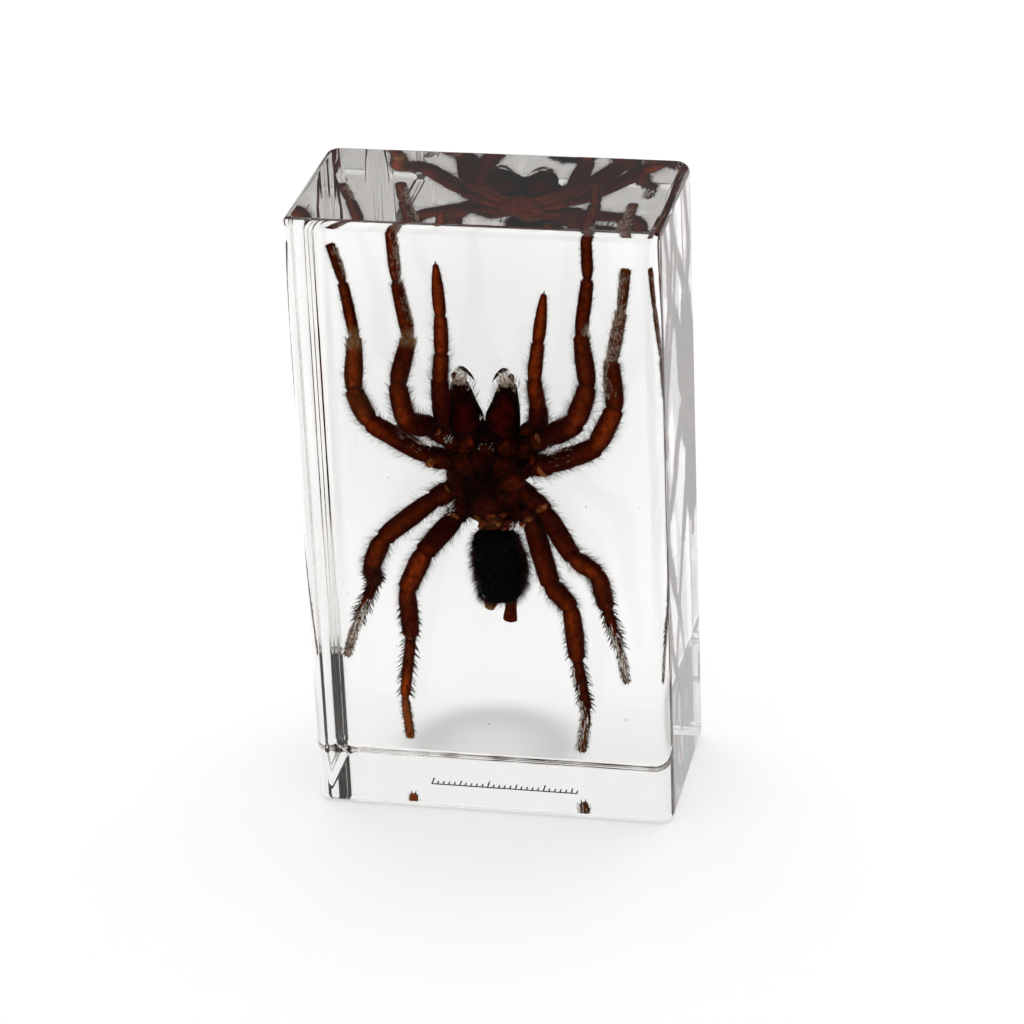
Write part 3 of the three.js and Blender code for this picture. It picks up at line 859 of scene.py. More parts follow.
def rounded_block(width, depth, height, upright_radius, rim_radius, steps=10):
    """A box with round upright edges and softer rims: points, faces and the normal at each point."""
    turns = np.linspace(0, math.pi / 2, steps + 1)
    tilts = np.concatenate([turns - math.pi / 2, turns])
    points, normals = [], []
    for level, tilt in enumerate(tilts):
        inset = rim_radius * (1 - math.cos(tilt))
        floor = rim_radius if level <= steps else height - rim_radius
        for corner, (sx, sy) in enumerate(((1, 1), (-1, 1), (-1, -1), (1, -1))):
            for turn in turns:
                angle = turn + corner * math.pi / 2
                radius = upright_radius - inset
                middle = (sx * (width / 2 - upright_radius), sy * (depth / 2 - upright_radius))
                points.append((
                    middle[0] + radius * math.cos(angle),
                    middle[1] + radius * math.sin(angle),
                    floor + rim_radius * math.sin(tilt),
                ))
                normals.append((
                    math.cos(angle) * math.cos(tilt), math.sin(angle) * math.cos(tilt), math.sin(tilt),
                ))
    ring = 4 * (steps + 1)
    faces = []
    for level in range(len(tilts) - 1):
        for k in range(ring):
            beside = (k + 1) % ring
            a, b = level * ring, (level + 1) * ring
            faces.append((a + k, a + beside, b + beside, b + k))
    faces.append(tuple(reversed(range(ring))))
    faces.append(tuple(range((len(tilts) - 1) * ring, len(tilts) * ring)))
    return points, faces, normals


class PaperweightBlock(bpy.types.PropertyGroup):
    upright_radius: bpy.props.FloatProperty(
        name="Upright edge radius",
        description="Radius of the four upright edges",
        default=2.8 * MM,
        unit="LENGTH",
    )
    rim_radius: bpy.props.FloatProperty(
        name="Rim radius",
        description="Radius of the edges round the top and the foot",
        default=1.6 * MM,
        unit="LENGTH",
    )
    bubble_count: bpy.props.IntProperty(
        name="Bubbles",
        description="Number of tiny air bubbles left in the resin",
        default=16,
        min=0,
    )
    scale_length: bpy.props.FloatProperty(
        name="Printed scale",
        description="Length of the plain scale printed on the foot",
        default=26 * MM,
        unit="LENGTH",
    )


class PaperweightSpider(bpy.types.PropertyGroup):
    hairiness: bpy.props.FloatProperty(
        name="Hairiness",
        description="Share of the full number of hairs",
        default=1.0,
        min=0.05,
        max=1.5,
        subtype="FACTOR",
    )


class PaperweightStage(bpy.types.PropertyGroup):
    floor_colour: bpy.props.FloatVectorProperty(
        name="Floor colour",
        description="Colour of the sheet that the block stands on",
        default=to_linear("#f1f1f0"),
        size=4,
        min=0,
        max=1,
        subtype="COLOR",
    )
    floor_glow: bpy.props.FloatProperty(
        name="Floor glow",
        description="Light that comes up through the floor",
        default=0.46,
        min=0,
    )
    sky_strength: bpy.props.FloatProperty(
        name="Tent light",
        description="Brightness of the white tent round the block",
        default=1.0,
        min=0,
    )


class PAPERWEIGHT_OT_block(bpy.types.Operator):
    """Make the clear block, one piece of resin"""

    bl_idname = "paperweight.block"
    bl_label = "Clear block"

    def execute(self, context):
        settings = context.scene.paperweight_block
        halves = np.array([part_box(name) for name in ("resin_front", "resin_back")])
        width, depth, height = (halves[:, 1].max(axis=0) - halves[:, 0].min(axis=0)) / MM
        points, faces, normals = rounded_block(
            width, depth, height, settings.upright_radius / MM, settings.rim_radius / MM,
        )
        block = make_piece("clear_block", points, faces, polyester_resin())
        block.data.normals_split_custom_set_from_vertices(normals)
        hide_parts("resin_front", "resin_back")
        return {"FINISHED"}


class PAPERWEIGHT_OT_foot_scale(bpy.types.Operator):
    """Print a plain millimetre scale on the foot"""

    bl_idname = "paperweight.foot_scale"
    bl_label = "Printed scale"

    INK_HEIGHT = 0.04
    LINE_WIDTH = 0.22
    BASE_LINE = -2.0
    TICKS = {"ten": 3.4, "five": 2.6, "one": 1.7}

    def execute(self, context):
        length = context.scene.paperweight_block.scale_length / MM
        shell = Shell()

        def mark(x0, x1, y0, y1):
            low, high = self.INK_HEIGHT, 2 * self.INK_HEIGHT
            outline = ((x0, y0), (x1, y0), (x1, y1), (x0, y1))
            points = [(x, y, z) for z in (low, high) for x, y in outline]
            sides = [(k, (k + 1) % 4, (k + 1) % 4 + 4, k + 4) for k in range(4)]
            shell.add(points, [(3, 2, 1, 0), (4, 5, 6, 7)] + sides)

        left, base, half = -length / 2, self.BASE_LINE, self.LINE_WIDTH / 2
        mark(left - half, -left + half, base - half, base + half)
        for tick in range(round(length) + 1):
            tall = self.TICKS["one" if tick % 5 else "five" if tick % 10 else "ten"]
            x = left + tick
            mark(x - half, x + half, base + half, base + tall)
        shell.piece("printed_scale", printing_ink(), smooth=False)
        return {"FINISHED"}


class PAPERWEIGHT_OT_bubbles(bpy.types.Operator):
    """Scatter the few tiny bubbles that the resin kept"""

    bl_idname = "paperweight.bubbles"
    bl_label = "Bubbles"

    def execute(self, context):
        rng = np.random.default_rng(11)
        shell = Shell()
        for _ in range(context.scene.paperweight_block.bubble_count):
            place = rng.uniform((-27, -12, 6), (27, 13, 100))
            size = rng.uniform(0.07, 0.16)
            points, faces = ball(place, (size, size, size * rng.uniform(0.8, 1.3)), 10, 6)
            shell.add(points, faces)
        shell.piece("bubbles", trapped_air())
        return {"FINISHED"}


# The spider

LIMBS = {}


def all_limbs():
    if not LIMBS:
        for name, joints in LEG_JOINTS.items():
            LIMBS[name] = Limb(name, joints, LEG_RADII[name[:5]], LEG_AMBER[name])
        for name, joints in PALP_JOINTS.items():
            LIMBS[name] = Limb(name, joints, PALP_RADII, PALP_AMBER)
    return LIMBS


def stand_for_spider(piece):
    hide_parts("tarantula")


class PAPERWEIGHT_OT_limbs(bpy.types.Operator):
    """Make the eight legs and two palps, each one jointed skin, with their claws"""

    bl_idname = "paperweight.limbs"
    bl_label = "Legs and palps"

    def execute(self, context):
        skin = cuticle("leg_cuticle_dried", "#560f06", "#ff6a1e", through=0.45, mottle_mm=1.1)
        horn = fang_horn()
        claws = Shell()
        for name, limb in all_limbs().items():
            shell = Shell()
            points, faces = limb.skin()
            shell.add(points, faces, amber=limb.light_by_point(), pale=self.straw(limb))
            stand_for_spider(shell.piece(name, skin))
            self.add_claws(claws, limb)
        stand_for_spider(claws.piece("claws", horn))
        stand_for_spider(self.membranes().piece("joint_skin", skin))
        return {"FINISHED"}

    def straw(self, limb):
        """How far each point of a limb's skin has bleached, with soft ends to the bleached parts."""
        straw = np.zeros(len(limb.shares))
        for name, start, end, bleached in STRAW:
            if name == limb.name:
                edge = np.minimum(limb.shares - start, end + 0.1 - limb.shares) / 0.12
                straw = np.maximum(straw, bleached * np.clip(edge, 0, 1))
        return np.append(np.repeat(straw, limb.sides), [0, straw[-1]])

    def membranes(self):
        """Crescents of soft skin that lie across the limbs at their joints."""
        shell = Shell()
        for name, share, side, spread, thick in MEMBRANES:
            limb = all_limbs()[name]
            spread = math.radians(spread) / 2
            angles = np.linspace(-spread, spread, 13)
            shares = np.full(len(angles), share)
            line, out, _ = limb.spots(shares, angles + limb.turn_to(shares, side))
            radii = 1.05 * thick * np.sqrt(np.maximum(0.05, 1 - (angles / spread) ** 2))
            points, faces = swept(line - out * thick * 0.4, radii, 10, lambda p: 0.2 * wobble(p, 0.5))
            blotch = np.array([wobble(p, 0.8) for p in points])
            amber, pale = np.clip([0.75 + blotch, 0.35 + 0.7 * blotch], 0, 1)
            shell.add(points, faces, amber, pale)
        return shell

    def add_claws(self, shell, limb):
        """Two claws that curve back from the end of a leg, or one at the end of a palp."""
        foot, heading = limb.centres[-1], limb.headings[-1]
        sideways = limb.frames[-1][0]
        length = FORE_CLAW_SHARE if limb.name[:5] in ("leg_1", "leg_2") else 1
        for side in (-1, 1) if limb.name.startswith("leg") else (0,):
            root = foot + sideways * side * limb.radii[-1] * 0.4 - heading * 0.25
            line = [
                root + heading * along * length + sideways * side * aside + (0, back, 0)
                for along, aside, back, _ in CLAW_LINE
            ]
            points, faces = swept(line, [radius for *_, radius in CLAW_LINE], 8)
            shell.add(points, faces)


def carapace_narrows(along):
    """The carapace's share of its full width, from its back at -1 to its head at 1."""
    return 1 - 0.3 * np.maximum(0, along) - 0.12 * np.maximum(0, -along)


def carapace_form(columns=120, rows=40):
    """The carapace: points, faces and how amber each point is."""
    half = np.array((CARAPACE["width"] / 2, 1, CARAPACE["length"] / 2))

    def dents(u, v):
        """How far the skin dips or rises at a place, and how much light it lets through, with painted shade
        along its grooves and furrows.
        """
        rim = math.hypot(u, v + FOVEA_DOWN)
        light = 0.02 + 0.07 * min(1, max(0, rim - 0.55) / 0.4)
        # The head rises, and two grooves set it off, with painted shade along them
        dip = -0.75 * math.exp(-((u / 0.42) ** 2) - ((v - 0.6) / 0.42) ** 2)
        for side in (-1, 1):
            along = (v + 0.05) * 0.86 + side * u * 0.5
            off = abs((v + 0.05) * 0.5 - side * u * 0.86)
            if along > 0:
                groove = math.exp(-((off / 0.06) ** 2)) * min(1, along * 3)
                dip += 0.4 * groove
                light -= 0.1 * groove
        turn = math.atan2(v + FOVEA_DOWN, u)
        # Furrows run out from the fovea, each with painted shade along it
        for furrow in FURROWS:
            gap = abs((turn - math.radians(furrow) + math.pi) % (2 * math.pi) - math.pi)
            groove = math.exp(-((gap * rim / 0.07) ** 2)) * min(1, max(0, rim - 0.15) * 3)
            dip += 0.3 * groove
            light -= 0.08 * groove
        dip += 0.8 * math.exp(-((u / 0.13) ** 2) - ((v + FOVEA_DOWN) / 0.06) ** 2)
        place = np.array(CARAPACE["centre"]) + half * (u, 0, v)
        for x, z, size, glow in CARAPACE_GLOW:
            away = math.hypot(place[0] - x, place[2] - z)
            light += 0.8 * glow * math.exp(-((away / size) ** 2))
        return dip, light

    points, faces = ball((0, 0, 0), (1, 1, 1), columns, rows)
    turned = np.stack([points[:, 0], -points[:, 2], points[:, 1]], 1)
    made, amber = [], []
    for x, y, z in turned:
        dip, light = dents(x, z)
        deep = y * (CARAPACE["dome"] if y < 0 else CARAPACE["belly"])
        inward = max(0, -y) ** 0.5
        point = np.array((x * half[0] * carapace_narrows(z), deep + dip * inward, z * half[2]))
        point[1] += 0.16 * inward * wobble(point, 0.9, 4)
        point[[0, 2]] *= 1 + 0.05 * wobble(point, 2.2, 6)
        made.append(point + np.array(CARAPACE["centre"]))
        amber.append(light)
    return np.array(made), faces, np.clip(amber, 0, 1)


class PAPERWEIGHT_OT_trunk(bpy.types.Operator):
    """Make the carapace, breastplate, eyes, stalk, abdomen and spinnerets"""

    bl_idname = "paperweight.trunk"
    bl_label = "Trunk"

    def execute(self, context):
        skin = cuticle(
            "trunk_cuticle_dried", "#220301", "#d44c12", through=0.4, mottle_mm=1.1, patchy=(0.05, 1.75),
        )
        shell = Shell()
        points, faces, amber = carapace_form()
        shell.add(points, faces, amber=amber)
        for lump in TRUNK_LUMPS:
            self.add_lump(shell, *lump)
        for form, columns, rows, depth, size, light in (
            (EYE_MOUND, 28, 18, 0.06, 0.5, 0.1), (STERNUM, 40, 24, 0.04, 0.4, 0.35),
        ):
            half = [form[key] / 2 for key in ("width", "height", "length")]
            points, faces = ball(
                form["centre"], half, columns, rows, lambda p: 1 + depth * wobble(p, size),
            )
            shell.add(points, faces, amber=light)
        stand_for_spider(shell.piece("carapace", skin))
        self.eyes()
        self.stalk()
        self.abdomen()
        return {"FINISHED"}

    def add_lump(self, shell, centre, half, tilt, light):
        """A wrinkled lump, turned about the block's depth, with patches that let light through and painted
        light on its side that faces the block's front.
        """
        def wrinkles(point):
            return 1 + 0.22 * wobble(point, 0.9, centre[0]) + 0.08 * wobble(point, 0.35)

        points, faces = ball((0, 0, 0), half, 36, 24, wrinkles)
        turn = math.radians(tilt)
        spun = np.stack([
            points[:, 0] * math.cos(turn) + points[:, 2] * math.sin(turn),
            points[:, 1],
            points[:, 2] * math.cos(turn) - points[:, 0] * math.sin(turn),
        ], 1)
        # Painted light: the side of the lump that faces the block's front is lighter amber, and its back is
        # darker
        painted_front_light = np.clip(-points[:, 1] / half[1], 0, 1) ** 2
        patch = np.array([0.75 + 0.9 * wobble(p, 1.1, centre[2]) for p in spun])
        shell.add(spun + centre, faces, amber=light * (0.12 + 0.88 * painted_front_light * patch))

    def eyes(self):
        """Eight eyes in two clusters on their mound."""
        shell = Shell()
        x, y, z = EYE_MOUND["centre"]
        for across, up, size in EYES:
            front = EYE_MOUND["height"] / 2 * math.sqrt(max(0.05, 1 - (across / 1.9) ** 2)) + 0.1
            points, faces = ball((x + across, y - front, z + up), (size, size, size), 14, 9)
            shell.add(points, faces)
        stand_for_spider(shell.piece("eyes", eye_lens()))

    def stalk(self):
        """The stalk behind the carapace, with pale lumps of dried tissue, and the spinnerets."""
        shell = Shell()

        def tube(line, sides, depth, size, squash=1.0):
            line = np.array(line)
            return swept(line[:, :3], line[:, 3], sides, lambda p: depth * wobble(p, size), squash)

        points, faces = tube(STALK_LINE, 26, 0.12, 0.9, 0.8)
        shell.add(points, faces, amber=0.12, pale=0.12)
        for place, half, light, pale in STALK_LUMPS:
            points, faces = ball(place, half, 18, 12, lambda p: 1 + 0.3 * wobble(p, 0.5))
            pale = [pale * (0.7 + 0.8 * wobble(p, 0.5)) for p in points]
            shell.add(points, faces, light, pale)
        points, faces = tube(SHORT_SPINNERET, 16, 0.12, 0.5)
        # The last of its three rings of 16 points is pale, and so is its tip
        pale = [0.0] * 32 + [0.7] * 16 + [0, 0.9]
        shell.add(points, faces, amber=0.35, pale=pale)
        points, faces = tube(LONG_SPINNERET, 16, 0.06, 0.5)
        shell.add(points, faces, amber=0.16)
        stand_for_spider(shell.piece("stalk_and_spinnerets", bpy.data.materials["leg_cuticle_dried"]))

    def abdomen(self):
        """The shrunken abdomen, wrinkled under its coat."""
        hide = cuticle("abdomen_hide_dried", "#060404", "#1c0e08", through=0.1, roughness=0.7)
        heights, left, right = zip(*ABDOMEN_OUTLINE)
        line = [((a + b) / 2, ABDOMEN["centre"][1], z) for z, a, b in zip(heights, left, right)]
        radii = [(b - a) / 2 for a, b in zip(left, right)]

        def bump(p):
            return 0.05 * wobble(p, 2.1) + 0.05 * wobble(p, 0.9) + 0.03 * wobble(p, 0.4)

        points, faces = swept(line, radii, 48, bump, ABDOMEN["height"] / ABDOMEN["width"])
        shell = Shell()
        shell.add(points, faces, amber=0.1)
        stand_for_spider(shell.piece("abdomen", hide))


class PAPERWEIGHT_OT_jaws(bpy.types.Operator):
    """Make the two jaws with their fangs"""

    bl_idname = "paperweight.jaws"
    bl_label = "Jaws"

    SIDES = 28

    @staticmethod
    def wrinkles(point):
        return 0.04 * wobble(point, 1.2) + 0.02 * wobble(point, 0.4)

    def execute(self, context):
        skin = cuticle("jaw_cuticle_dried", "#140201", "#7c1204", through=0.4, patchy=(0.2, 1.5))
        shell, fangs = Shell(), Shell()
        # Painted light: the jaw's skin that faces the block's front or back is lit amber, and its edges are
        # painted dark
        painted_facing_light = np.abs(np.sin(np.arange(self.SIDES) * 2 * math.pi / self.SIDES)) ** 3
        for side, plane in JAWS:
            def on_this_side(line):
                return [(plane + side * out, back, height) for out, back, height, *_ in line]

            *_, radii, light = zip(*JAW_LINE)
            points, faces = swept(on_this_side(JAW_LINE), radii, self.SIDES, self.wrinkles)
            amber = np.append(np.outer(light, painted_facing_light), [0.05, 0.1])
            shell.add(points, faces, amber=amber)
            *_, radii = zip(*FANG_LINE)
            points, faces = swept(on_this_side(FANG_LINE), radii, 12)
            fangs.add(points, faces)
            centre, half = JAW_KNOB
            centre, = on_this_side([centre])
            points, faces = ball(centre, half, 16, 12, lambda p: 1 + 0.2 * wobble(p, 0.6))
            shell.add(points, faces, amber=0.15, pale=0.07)
        stand_for_spider(shell.piece("jaws", skin))
        stand_for_spider(fangs.piece("fangs", bpy.data.materials["fang_horn_black"]))
        return {"FINISHED"}


class PAPERWEIGHT_OT_silver(bpy.types.Operator):
    """Lay the hair that trapped air silvers along the limbs, between the hips and at the jaws"""

    bl_idname = "paperweight.silver"
    bl_label = "Silvered hair"

    def execute(self, context):
        rng = np.random.default_rng(17)
        strands = {kind: [] for kind in SILVER_KINDS}
        for name, start, end, side, spread, density, kind in SILVERED:
            limb = all_limbs()[name]
            look = SILVER_KINDS[kind]
            count = int(look["hairs"] * density * (end - start))
            shares = rng.uniform(start, end, count)
            angles = limb.turn_to(shares, side) + rng.normal(0, math.radians(spread) * 0.6, count)
            roots, out, heading = limb.spots(shares, angles)
            roots = roots + out * rng.uniform(-0.03, look["lift"], count)[:, None]
            lean = out * rng.uniform(0, 0.2, count)[:, None] + rng.normal(0, look["stray"], (count, 3))
            strands[kind].append(hairs(
                roots, heading + lean, look["long"] * rng.uniform(0.8, 2.4, count),
                look["thick"] * rng.uniform(0.05, 0.13, count), heading * 0.1, sides=5,
            ))
        for place, size in SILVER_TUFTS:
            size = (size, size * 0.6, size)
            strands["bright"].append(self.tuft(rng, place, size, (0.7, -0.2, 0.9), 18))
        for side, plane in JAWS:
            for kind, out, back, height, size, count in JAW_TUFTS:
                place = (plane + side * out, back, height)
                strands[kind].append(self.tuft(rng, place, size, (-side * 0.6, -0.3, 1.6), count))
        # Both kinds paint the trapped air's reflection into a pale colour and a glow
        for kind, material in (
            ("bright", silvered_hair("bristle_silvered_by_air", "#8a7464", "#fffdf8", 0.22)),
            ("dull", silvered_hair("bristle_greyed_by_air", "#6e594c", "#c2b09f", 0.36)),
        ):
            points, faces = joined(strands[kind])
            stand_for_spider(make_piece(f"silvered_hair_{kind}", points, faces, material))
        return {"FINISHED"}

    def tuft(self, rng, place, size, lean, count):
        """Hairs that stand out of a small ball and lean one way."""
        out = unit(rng.normal(0, 1, (count, 3)))
        return hairs(
            out * np.array(size) * rng.uniform(0.5, 1, (count, 1)) + place,
            out * 0.5 + np.array(lean), rng.uniform(0.3, 1.1, count), rng.uniform(0.03, 0.08, count),
            np.tile((0, 0, 0.1), (count, 1)), sides=4,
        )


class PAPERWEIGHT_OT_hair(bpy.types.Operator):
    """Grow the coat: fine hair, the thorns of the hind legs and the abdomen's pelt"""

    bl_idname = "paperweight.hair"
    bl_label = "Hair and thorns"

    def execute(self, context):
        share = context.scene.paperweight_spider.hairiness
        rusty = hair_material("hair_rusty_brown", "#34110a", "#7c3a1e", through=0.25, tuft_mm=1.2)
        thorny = hair_material("thorn_dark_horn", "#1c0806", "#3a140c", through=0.1)
        black = hair_material("hair_sooty_black", "#060606", "#3f4448", roughness=0.6, tuft_mm=0.7)
        russet = hair_material("hair_long_russet", "#542c1e", "#96644a", through=0.45)
        self.coat({"short": rusty, "long": russet}, share)
        self.thorns(thorny)
        self.pelt(black, rusty, share)
        self.fringe(rusty, share)
        return {"FINISHED"}

    def coat(self, materials, share):
        """Short hair that lies along every limb, and fine long hair that stands off it."""
        rng = np.random.default_rng(21)
        for name, limb in all_limbs().items():
            for kind, on_leg, on_palp, shortest, longest, least_lean, most_lean, radius in COAT:
                count = on_leg if name.startswith("leg") else on_palp
                count = int(count * share)
                shares = rng.uniform(0.35, len(limb.radii) - 0.02, count)
                angles = rng.uniform(0, 2 * math.pi, count)
                roots, out, heading = limb.spots(shares, angles)
                lean = rng.uniform(least_lean, most_lean, count)[:, None]
                lengths = rng.uniform(shortest, longest, count)
                lengths *= np.interp(shares, [0, 2, 4, len(limb.radii)], [1.1, 1, 0.55, 0.35])
                points, faces = hairs(
                    roots - out * 0.06, out + heading * lean + rng.normal(0, 0.2, (count, 3)),
                    lengths, np.full(count, radius), heading * 0.2, rings=2,
                )
                stand_for_spider(make_piece(f"hair_{kind}_{name}", points, faces, materials[kind]))

    def thorns(self, material):
        """Stiff thorns, like a comb down both sides of the hind legs' last segments."""
        rng = np.random.default_rng(8)
        rows = []
        for name, limb in all_limbs().items():
            if name[:5] not in ("leg_3", "leg_4"):
                continue
            for segment, first, count, length in THORN_ROWS:
                for side in (-1, 1, 0):
                    steps = (np.arange(count) + rng.uniform(-0.35, 0.35, count)) / count
                    shares = segment + np.clip(first + (0.97 - first) * steps, 0, 0.97)
                    angles = limb.turn_to(shares, (side, 0, 0)) + rng.normal(0, 0.3, count)
                    angles = angles if side else rng.uniform(0, 2 * math.pi, count)
                    roots, out, heading = limb.spots(shares, angles)
                    lean = heading * rng.uniform(0.8, 1.3, count)[:, None]
                    rows.append(hairs(
                        roots - out * 0.1, out + lean + rng.normal(0, 0.08, (count, 3)),
                        length * rng.uniform(0.75, 1.15, count), np.full(count, 0.14), heading * 0.15,
                        sides=4,
                    ))
        stand_for_spider(make_piece("leg_thorns", *joined(rows), material))

    def pelt(self, black, rusty, share):
        """The abdomen's long dark hair, combed down and standing off in tufts."""
        rng = np.random.default_rng(14)
        count = int(PELT_HAIRS * share)
        heights, left, right = (np.array(column)[::-1] for column in zip(*ABDOMEN_OUTLINE))
        level = rng.uniform(heights[0], heights[-1], count)
        middle = np.interp(level, heights, (left + right) / 2)
        radius = np.interp(level, heights, (right - left) / 2)
        taper = -np.interp(level, heights, np.gradient((right - left) / 2, heights))
        turn = rng.uniform(0, 2 * math.pi, count)
        deep = ABDOMEN["height"] / ABDOMEN["width"]
        roots = np.stack([
            middle + radius * np.cos(turn) * 0.98,
            ABDOMEN["centre"][1] + radius * np.sin(turn) * deep * 0.98,
            level,
        ], 1)
        out = unit(np.stack([np.cos(turn), np.sin(turn), np.clip(taper, -2, 2)], 1))
        tufts = np.array([0.85 + wobble(p, 1.4) for p in roots])
        lengths = rng.uniform(0.5, 1.5, count) * tufts
        down = np.array((0, 0, -1.0))
        made, skin = hairs(
            roots, out * 0.85 + down * 0.6 + rng.normal(0, 0.35, (count, 3)), lengths,
            np.full(count, 0.03), np.broadcast_to(down * 0.3, (count, 3)),
        )
        stand_for_spider(make_piece("abdomen_pelt", made, skin, black))
        edge = np.flatnonzero(np.abs(np.cos(turn)) > 0.8)[:count // 6]
        few = len(edge)
        made, skin = hairs(
            roots[edge], out[edge] * 0.9 + down * 0.5 + rng.normal(0, 0.3, (few, 3)),
            rng.uniform(0.9, 2.4, few), np.full(few, 0.03), np.broadcast_to(down * 0.2, (few, 3)),
        )
        stand_for_spider(make_piece("abdomen_guard_hair", made, skin, rusty))

    def fringe(self, material, share):
        """Short hair on the carapace, and longer tufts between and on the jaws."""
        rng = np.random.default_rng(31)
        count = int(CARAPACE_HAIRS * share)
        angle = rng.uniform(0, 2 * math.pi, count)
        reach = np.sqrt(rng.uniform(0.15, 1, count))
        x, z = np.cos(angle) * reach, np.sin(angle) * reach
        y = -np.sqrt(np.maximum(0, 1 - reach ** 2))
        roots = np.stack([
            x * CARAPACE["width"] / 2 * carapace_narrows(z),
            y * CARAPACE["dome"],
            z * CARAPACE["length"] / 2,
        ], 1) + CARAPACE["centre"]
        out = unit(np.stack([x, y * 1.5, z], 1))
        tufts = [hairs(
            roots, out * 0.5 + np.stack([x, y * 0, z], 1) + rng.normal(0, 0.2, (count, 3)),
            rng.uniform(0.3, 1.1, count), np.full(count, 0.02), out * 0.1,
        )]
        for side, plane in JAWS:
            count = int(JAW_HAIRS * share)
            height = rng.uniform(0, 1, count)
            turn = rng.uniform(0, 2 * math.pi, count)
            centre = np.stack([
                plane + side * (2.8 + 1.7 * height), 1.3 + 1.2 * height ** 2, 66 + 12 * height,
            ], 1)
            radius = JAW_HAIR_RADIUS * (1 - 0.35 * height ** 3)
            out = np.stack([np.cos(turn), np.sin(turn), np.zeros(count)], 1)
            inner = out[:, 0] * side < -0.3
            tufts.append(hairs(
                centre + out * radius[:, None] * 0.97,
                out * 0.6 + np.array((0, 0, 0.9)) + rng.normal(0, 0.15, (count, 3)),
                np.where(inner, rng.uniform(0.8, 2.2, count), rng.uniform(0.4, 1.1, count)),
                np.full(count, 0.026), np.tile((0, 0, 0.2), (count, 1)),
            ))
        stand_for_spider(make_piece("body_hair", *joined(tufts), material))


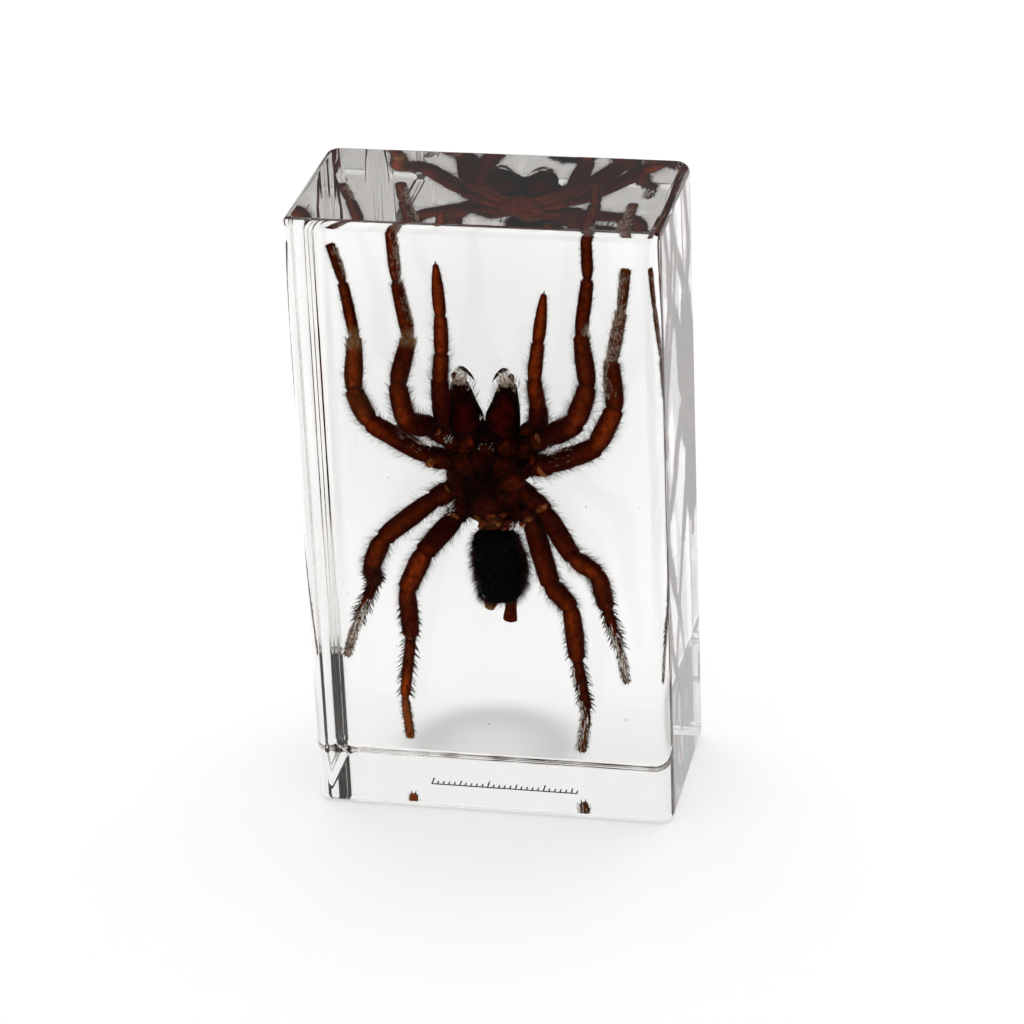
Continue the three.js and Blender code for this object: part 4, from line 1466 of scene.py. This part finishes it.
class PAPERWEIGHT_OT_stage(bpy.types.Operator):
    """Set the floor, the tent light and the camera"""

    bl_idname = "paperweight.stage"
    bl_label = "Stage"

    # The floor lies a little below the foot, so that no two faces share one plane
    FLOOR_GAP_MM = 0.02
    # The curve stands far enough back to leave room for a camera behind the block
    FLOOR_HALF_MM = 8000
    CURVE_START = 1050
    CURVE_RADIUS = 450
    WALL_TOP = 2400
    # How bright the walls are beside the ceiling
    WALL_SHARE = 0.06
    BACK_WALL_SHARE = 0.2

    def execute(self, context):
        settings = context.scene.paperweight_stage
        floor = self.sweep(pale_floor(settings.floor_colour, settings.floor_glow))
        floor.location.z = -self.FLOOR_GAP_MM * MM
        floor.visible_glossy = False
        self.tent(context, settings.sky_strength)
        self.camera(context)
        context.scene.view_settings.view_transform = "Standard"
        context.scene.cycles.max_bounces = 24
        context.scene.cycles.transmission_bounces = 24
        context.scene.cycles.glossy_bounces = 12
        context.scene.cycles.diffuse_bounces = 4
        return {"FINISHED"}

    def sweep(self, material):
        """A sheet that lies flat under the block and curves up behind it."""
        half = self.FLOOR_HALF_MM
        turns = np.linspace(0, math.pi / 2, 25)
        profile = [(-half, 0)]
        for turn in turns:
            profile.append((
                self.CURVE_START + self.CURVE_RADIUS * math.sin(turn),
                self.CURVE_RADIUS * (1 - math.cos(turn)),
            ))
        profile.append((self.CURVE_START + self.CURVE_RADIUS, self.WALL_TOP))
        points = [(x, y, z) for y, z in profile for x in (-half, half)]
        faces = [(2 * i, 2 * i + 1, 2 * i + 3, 2 * i + 2) for i in range(len(profile) - 1)]
        return make_piece("floor", points, faces, material, rides=False)

    def tent(self, context, strength):
        """A white ceiling over dim walls. What the block mirrors from below is dark in front."""
        world = bpy.data.worlds.new("studio")
        world.use_nodes = True
        tree = world.node_tree
        tree.nodes.clear()
        coords = add_node(tree, "ShaderNodeTexCoord")
        way = add_node(tree, "ShaderNodeSeparateXYZ", {"Vector": coords.outputs["Generated"]})
        to_back, up = way.outputs["Y"], way.outputs["Z"]
        wall = ramp(tree, to_back, 0.2, 0.8, self.WALL_SHARE * strength, self.BACK_WALL_SHARE * strength)
        sky = ramp(tree, up, 0.6, 0.85, wall, strength)
        below = ramp(tree, to_back, -0.2, 0.3, 0.01, 1.0)
        tone = add_node(tree, "ShaderNodeMix", {
            "Factor": ramp(tree, up, -0.02, 0.02, soft=False),
            "A": below,
            "B": sky,
        })
        light = add_node(tree, "ShaderNodeBackground", {
            "Color": (1, 1, 1, 1),
            "Strength": tone.outputs["Result"],
        })
        add_node(tree, "ShaderNodeOutputWorld", {"Surface": light.outputs["Background"]})
        context.scene.world = world

    def camera(self, context):
        a, e, roll = (math.radians(x) for x in (CAMERA_AZIMUTH, CAMERA_ELEVATION, CAMERA_ROLL))
        right = Vector((math.cos(a), math.sin(a), 0))
        back = Vector((math.sin(a) * math.cos(e), -math.cos(a) * math.cos(e), math.sin(e)))
        up = back.cross(right)
        x_axis = right * math.cos(roll) + up * math.sin(roll)
        y_axis = up * math.cos(roll) - right * math.sin(roll)
        lens = bpy.data.cameras.new("camera")
        lens.sensor_width = SENSOR_MM
        lens.lens = CAMERA_FOCAL_PX * SENSOR_MM / PICTURE_PX
        lens.clip_start, lens.clip_end = 0.05, 20
        camera = bpy.data.objects.new("camera", lens)
        camera.matrix_world = Matrix((x_axis, y_axis, back)).transposed().to_4x4()
        camera.location = to_metres(CAMERA_PLACE)
        context.scene.collection.objects.link(camera)
        context.scene.camera = camera


class PAPERWEIGHT_PT_panel(bpy.types.Panel):
    """The paperweight's pieces, one button each, with their sizes"""

    bl_idname = "PAPERWEIGHT_PT_panel"
    bl_label = "Paperweight"
    bl_space_type = "VIEW_3D"
    bl_region_type = "UI"
    bl_category = "Paperweight"

    def draw(self, context):
        scene = context.scene
        for settings in (scene.paperweight_block, scene.paperweight_spider, scene.paperweight_stage):
            box = self.layout.box()
            for name in settings.__annotations__:
                box.prop(settings, name)
        for operator in STEPS:
            self.layout.operator(operator.bl_idname)


SETTINGS = {
    "paperweight_block": PaperweightBlock,
    "paperweight_spider": PaperweightSpider,
    "paperweight_stage": PaperweightStage,
}
STEPS = (
    PAPERWEIGHT_OT_stage,
    PAPERWEIGHT_OT_block,
    PAPERWEIGHT_OT_limbs,
    PAPERWEIGHT_OT_trunk,
    PAPERWEIGHT_OT_jaws,
    PAPERWEIGHT_OT_hair,
    PAPERWEIGHT_OT_silver,
    PAPERWEIGHT_OT_bubbles,
    PAPERWEIGHT_OT_foot_scale,
)


def register():
    for group in SETTINGS.values():
        bpy.utils.register_class(group)
    for name, group in SETTINGS.items():
        setattr(bpy.types.Scene, name, bpy.props.PointerProperty(type=group))
    for operator in STEPS:
        bpy.utils.register_class(operator)
    bpy.utils.register_class(PAPERWEIGHT_PT_panel)


def unregister():
    bpy.utils.unregister_class(PAPERWEIGHT_PT_panel)
    for operator in reversed(STEPS):
        bpy.utils.unregister_class(operator)
    for name in SETTINGS:
        delattr(bpy.types.Scene, name)
    for group in reversed(list(SETTINGS.values())):
        bpy.utils.unregister_class(group)


def main():
    register()
    for step in STEPS:
        group, name = step.bl_idname.split(".")
        getattr(getattr(bpy.ops, group), name)()


if __name__ == "__main__":
    main()
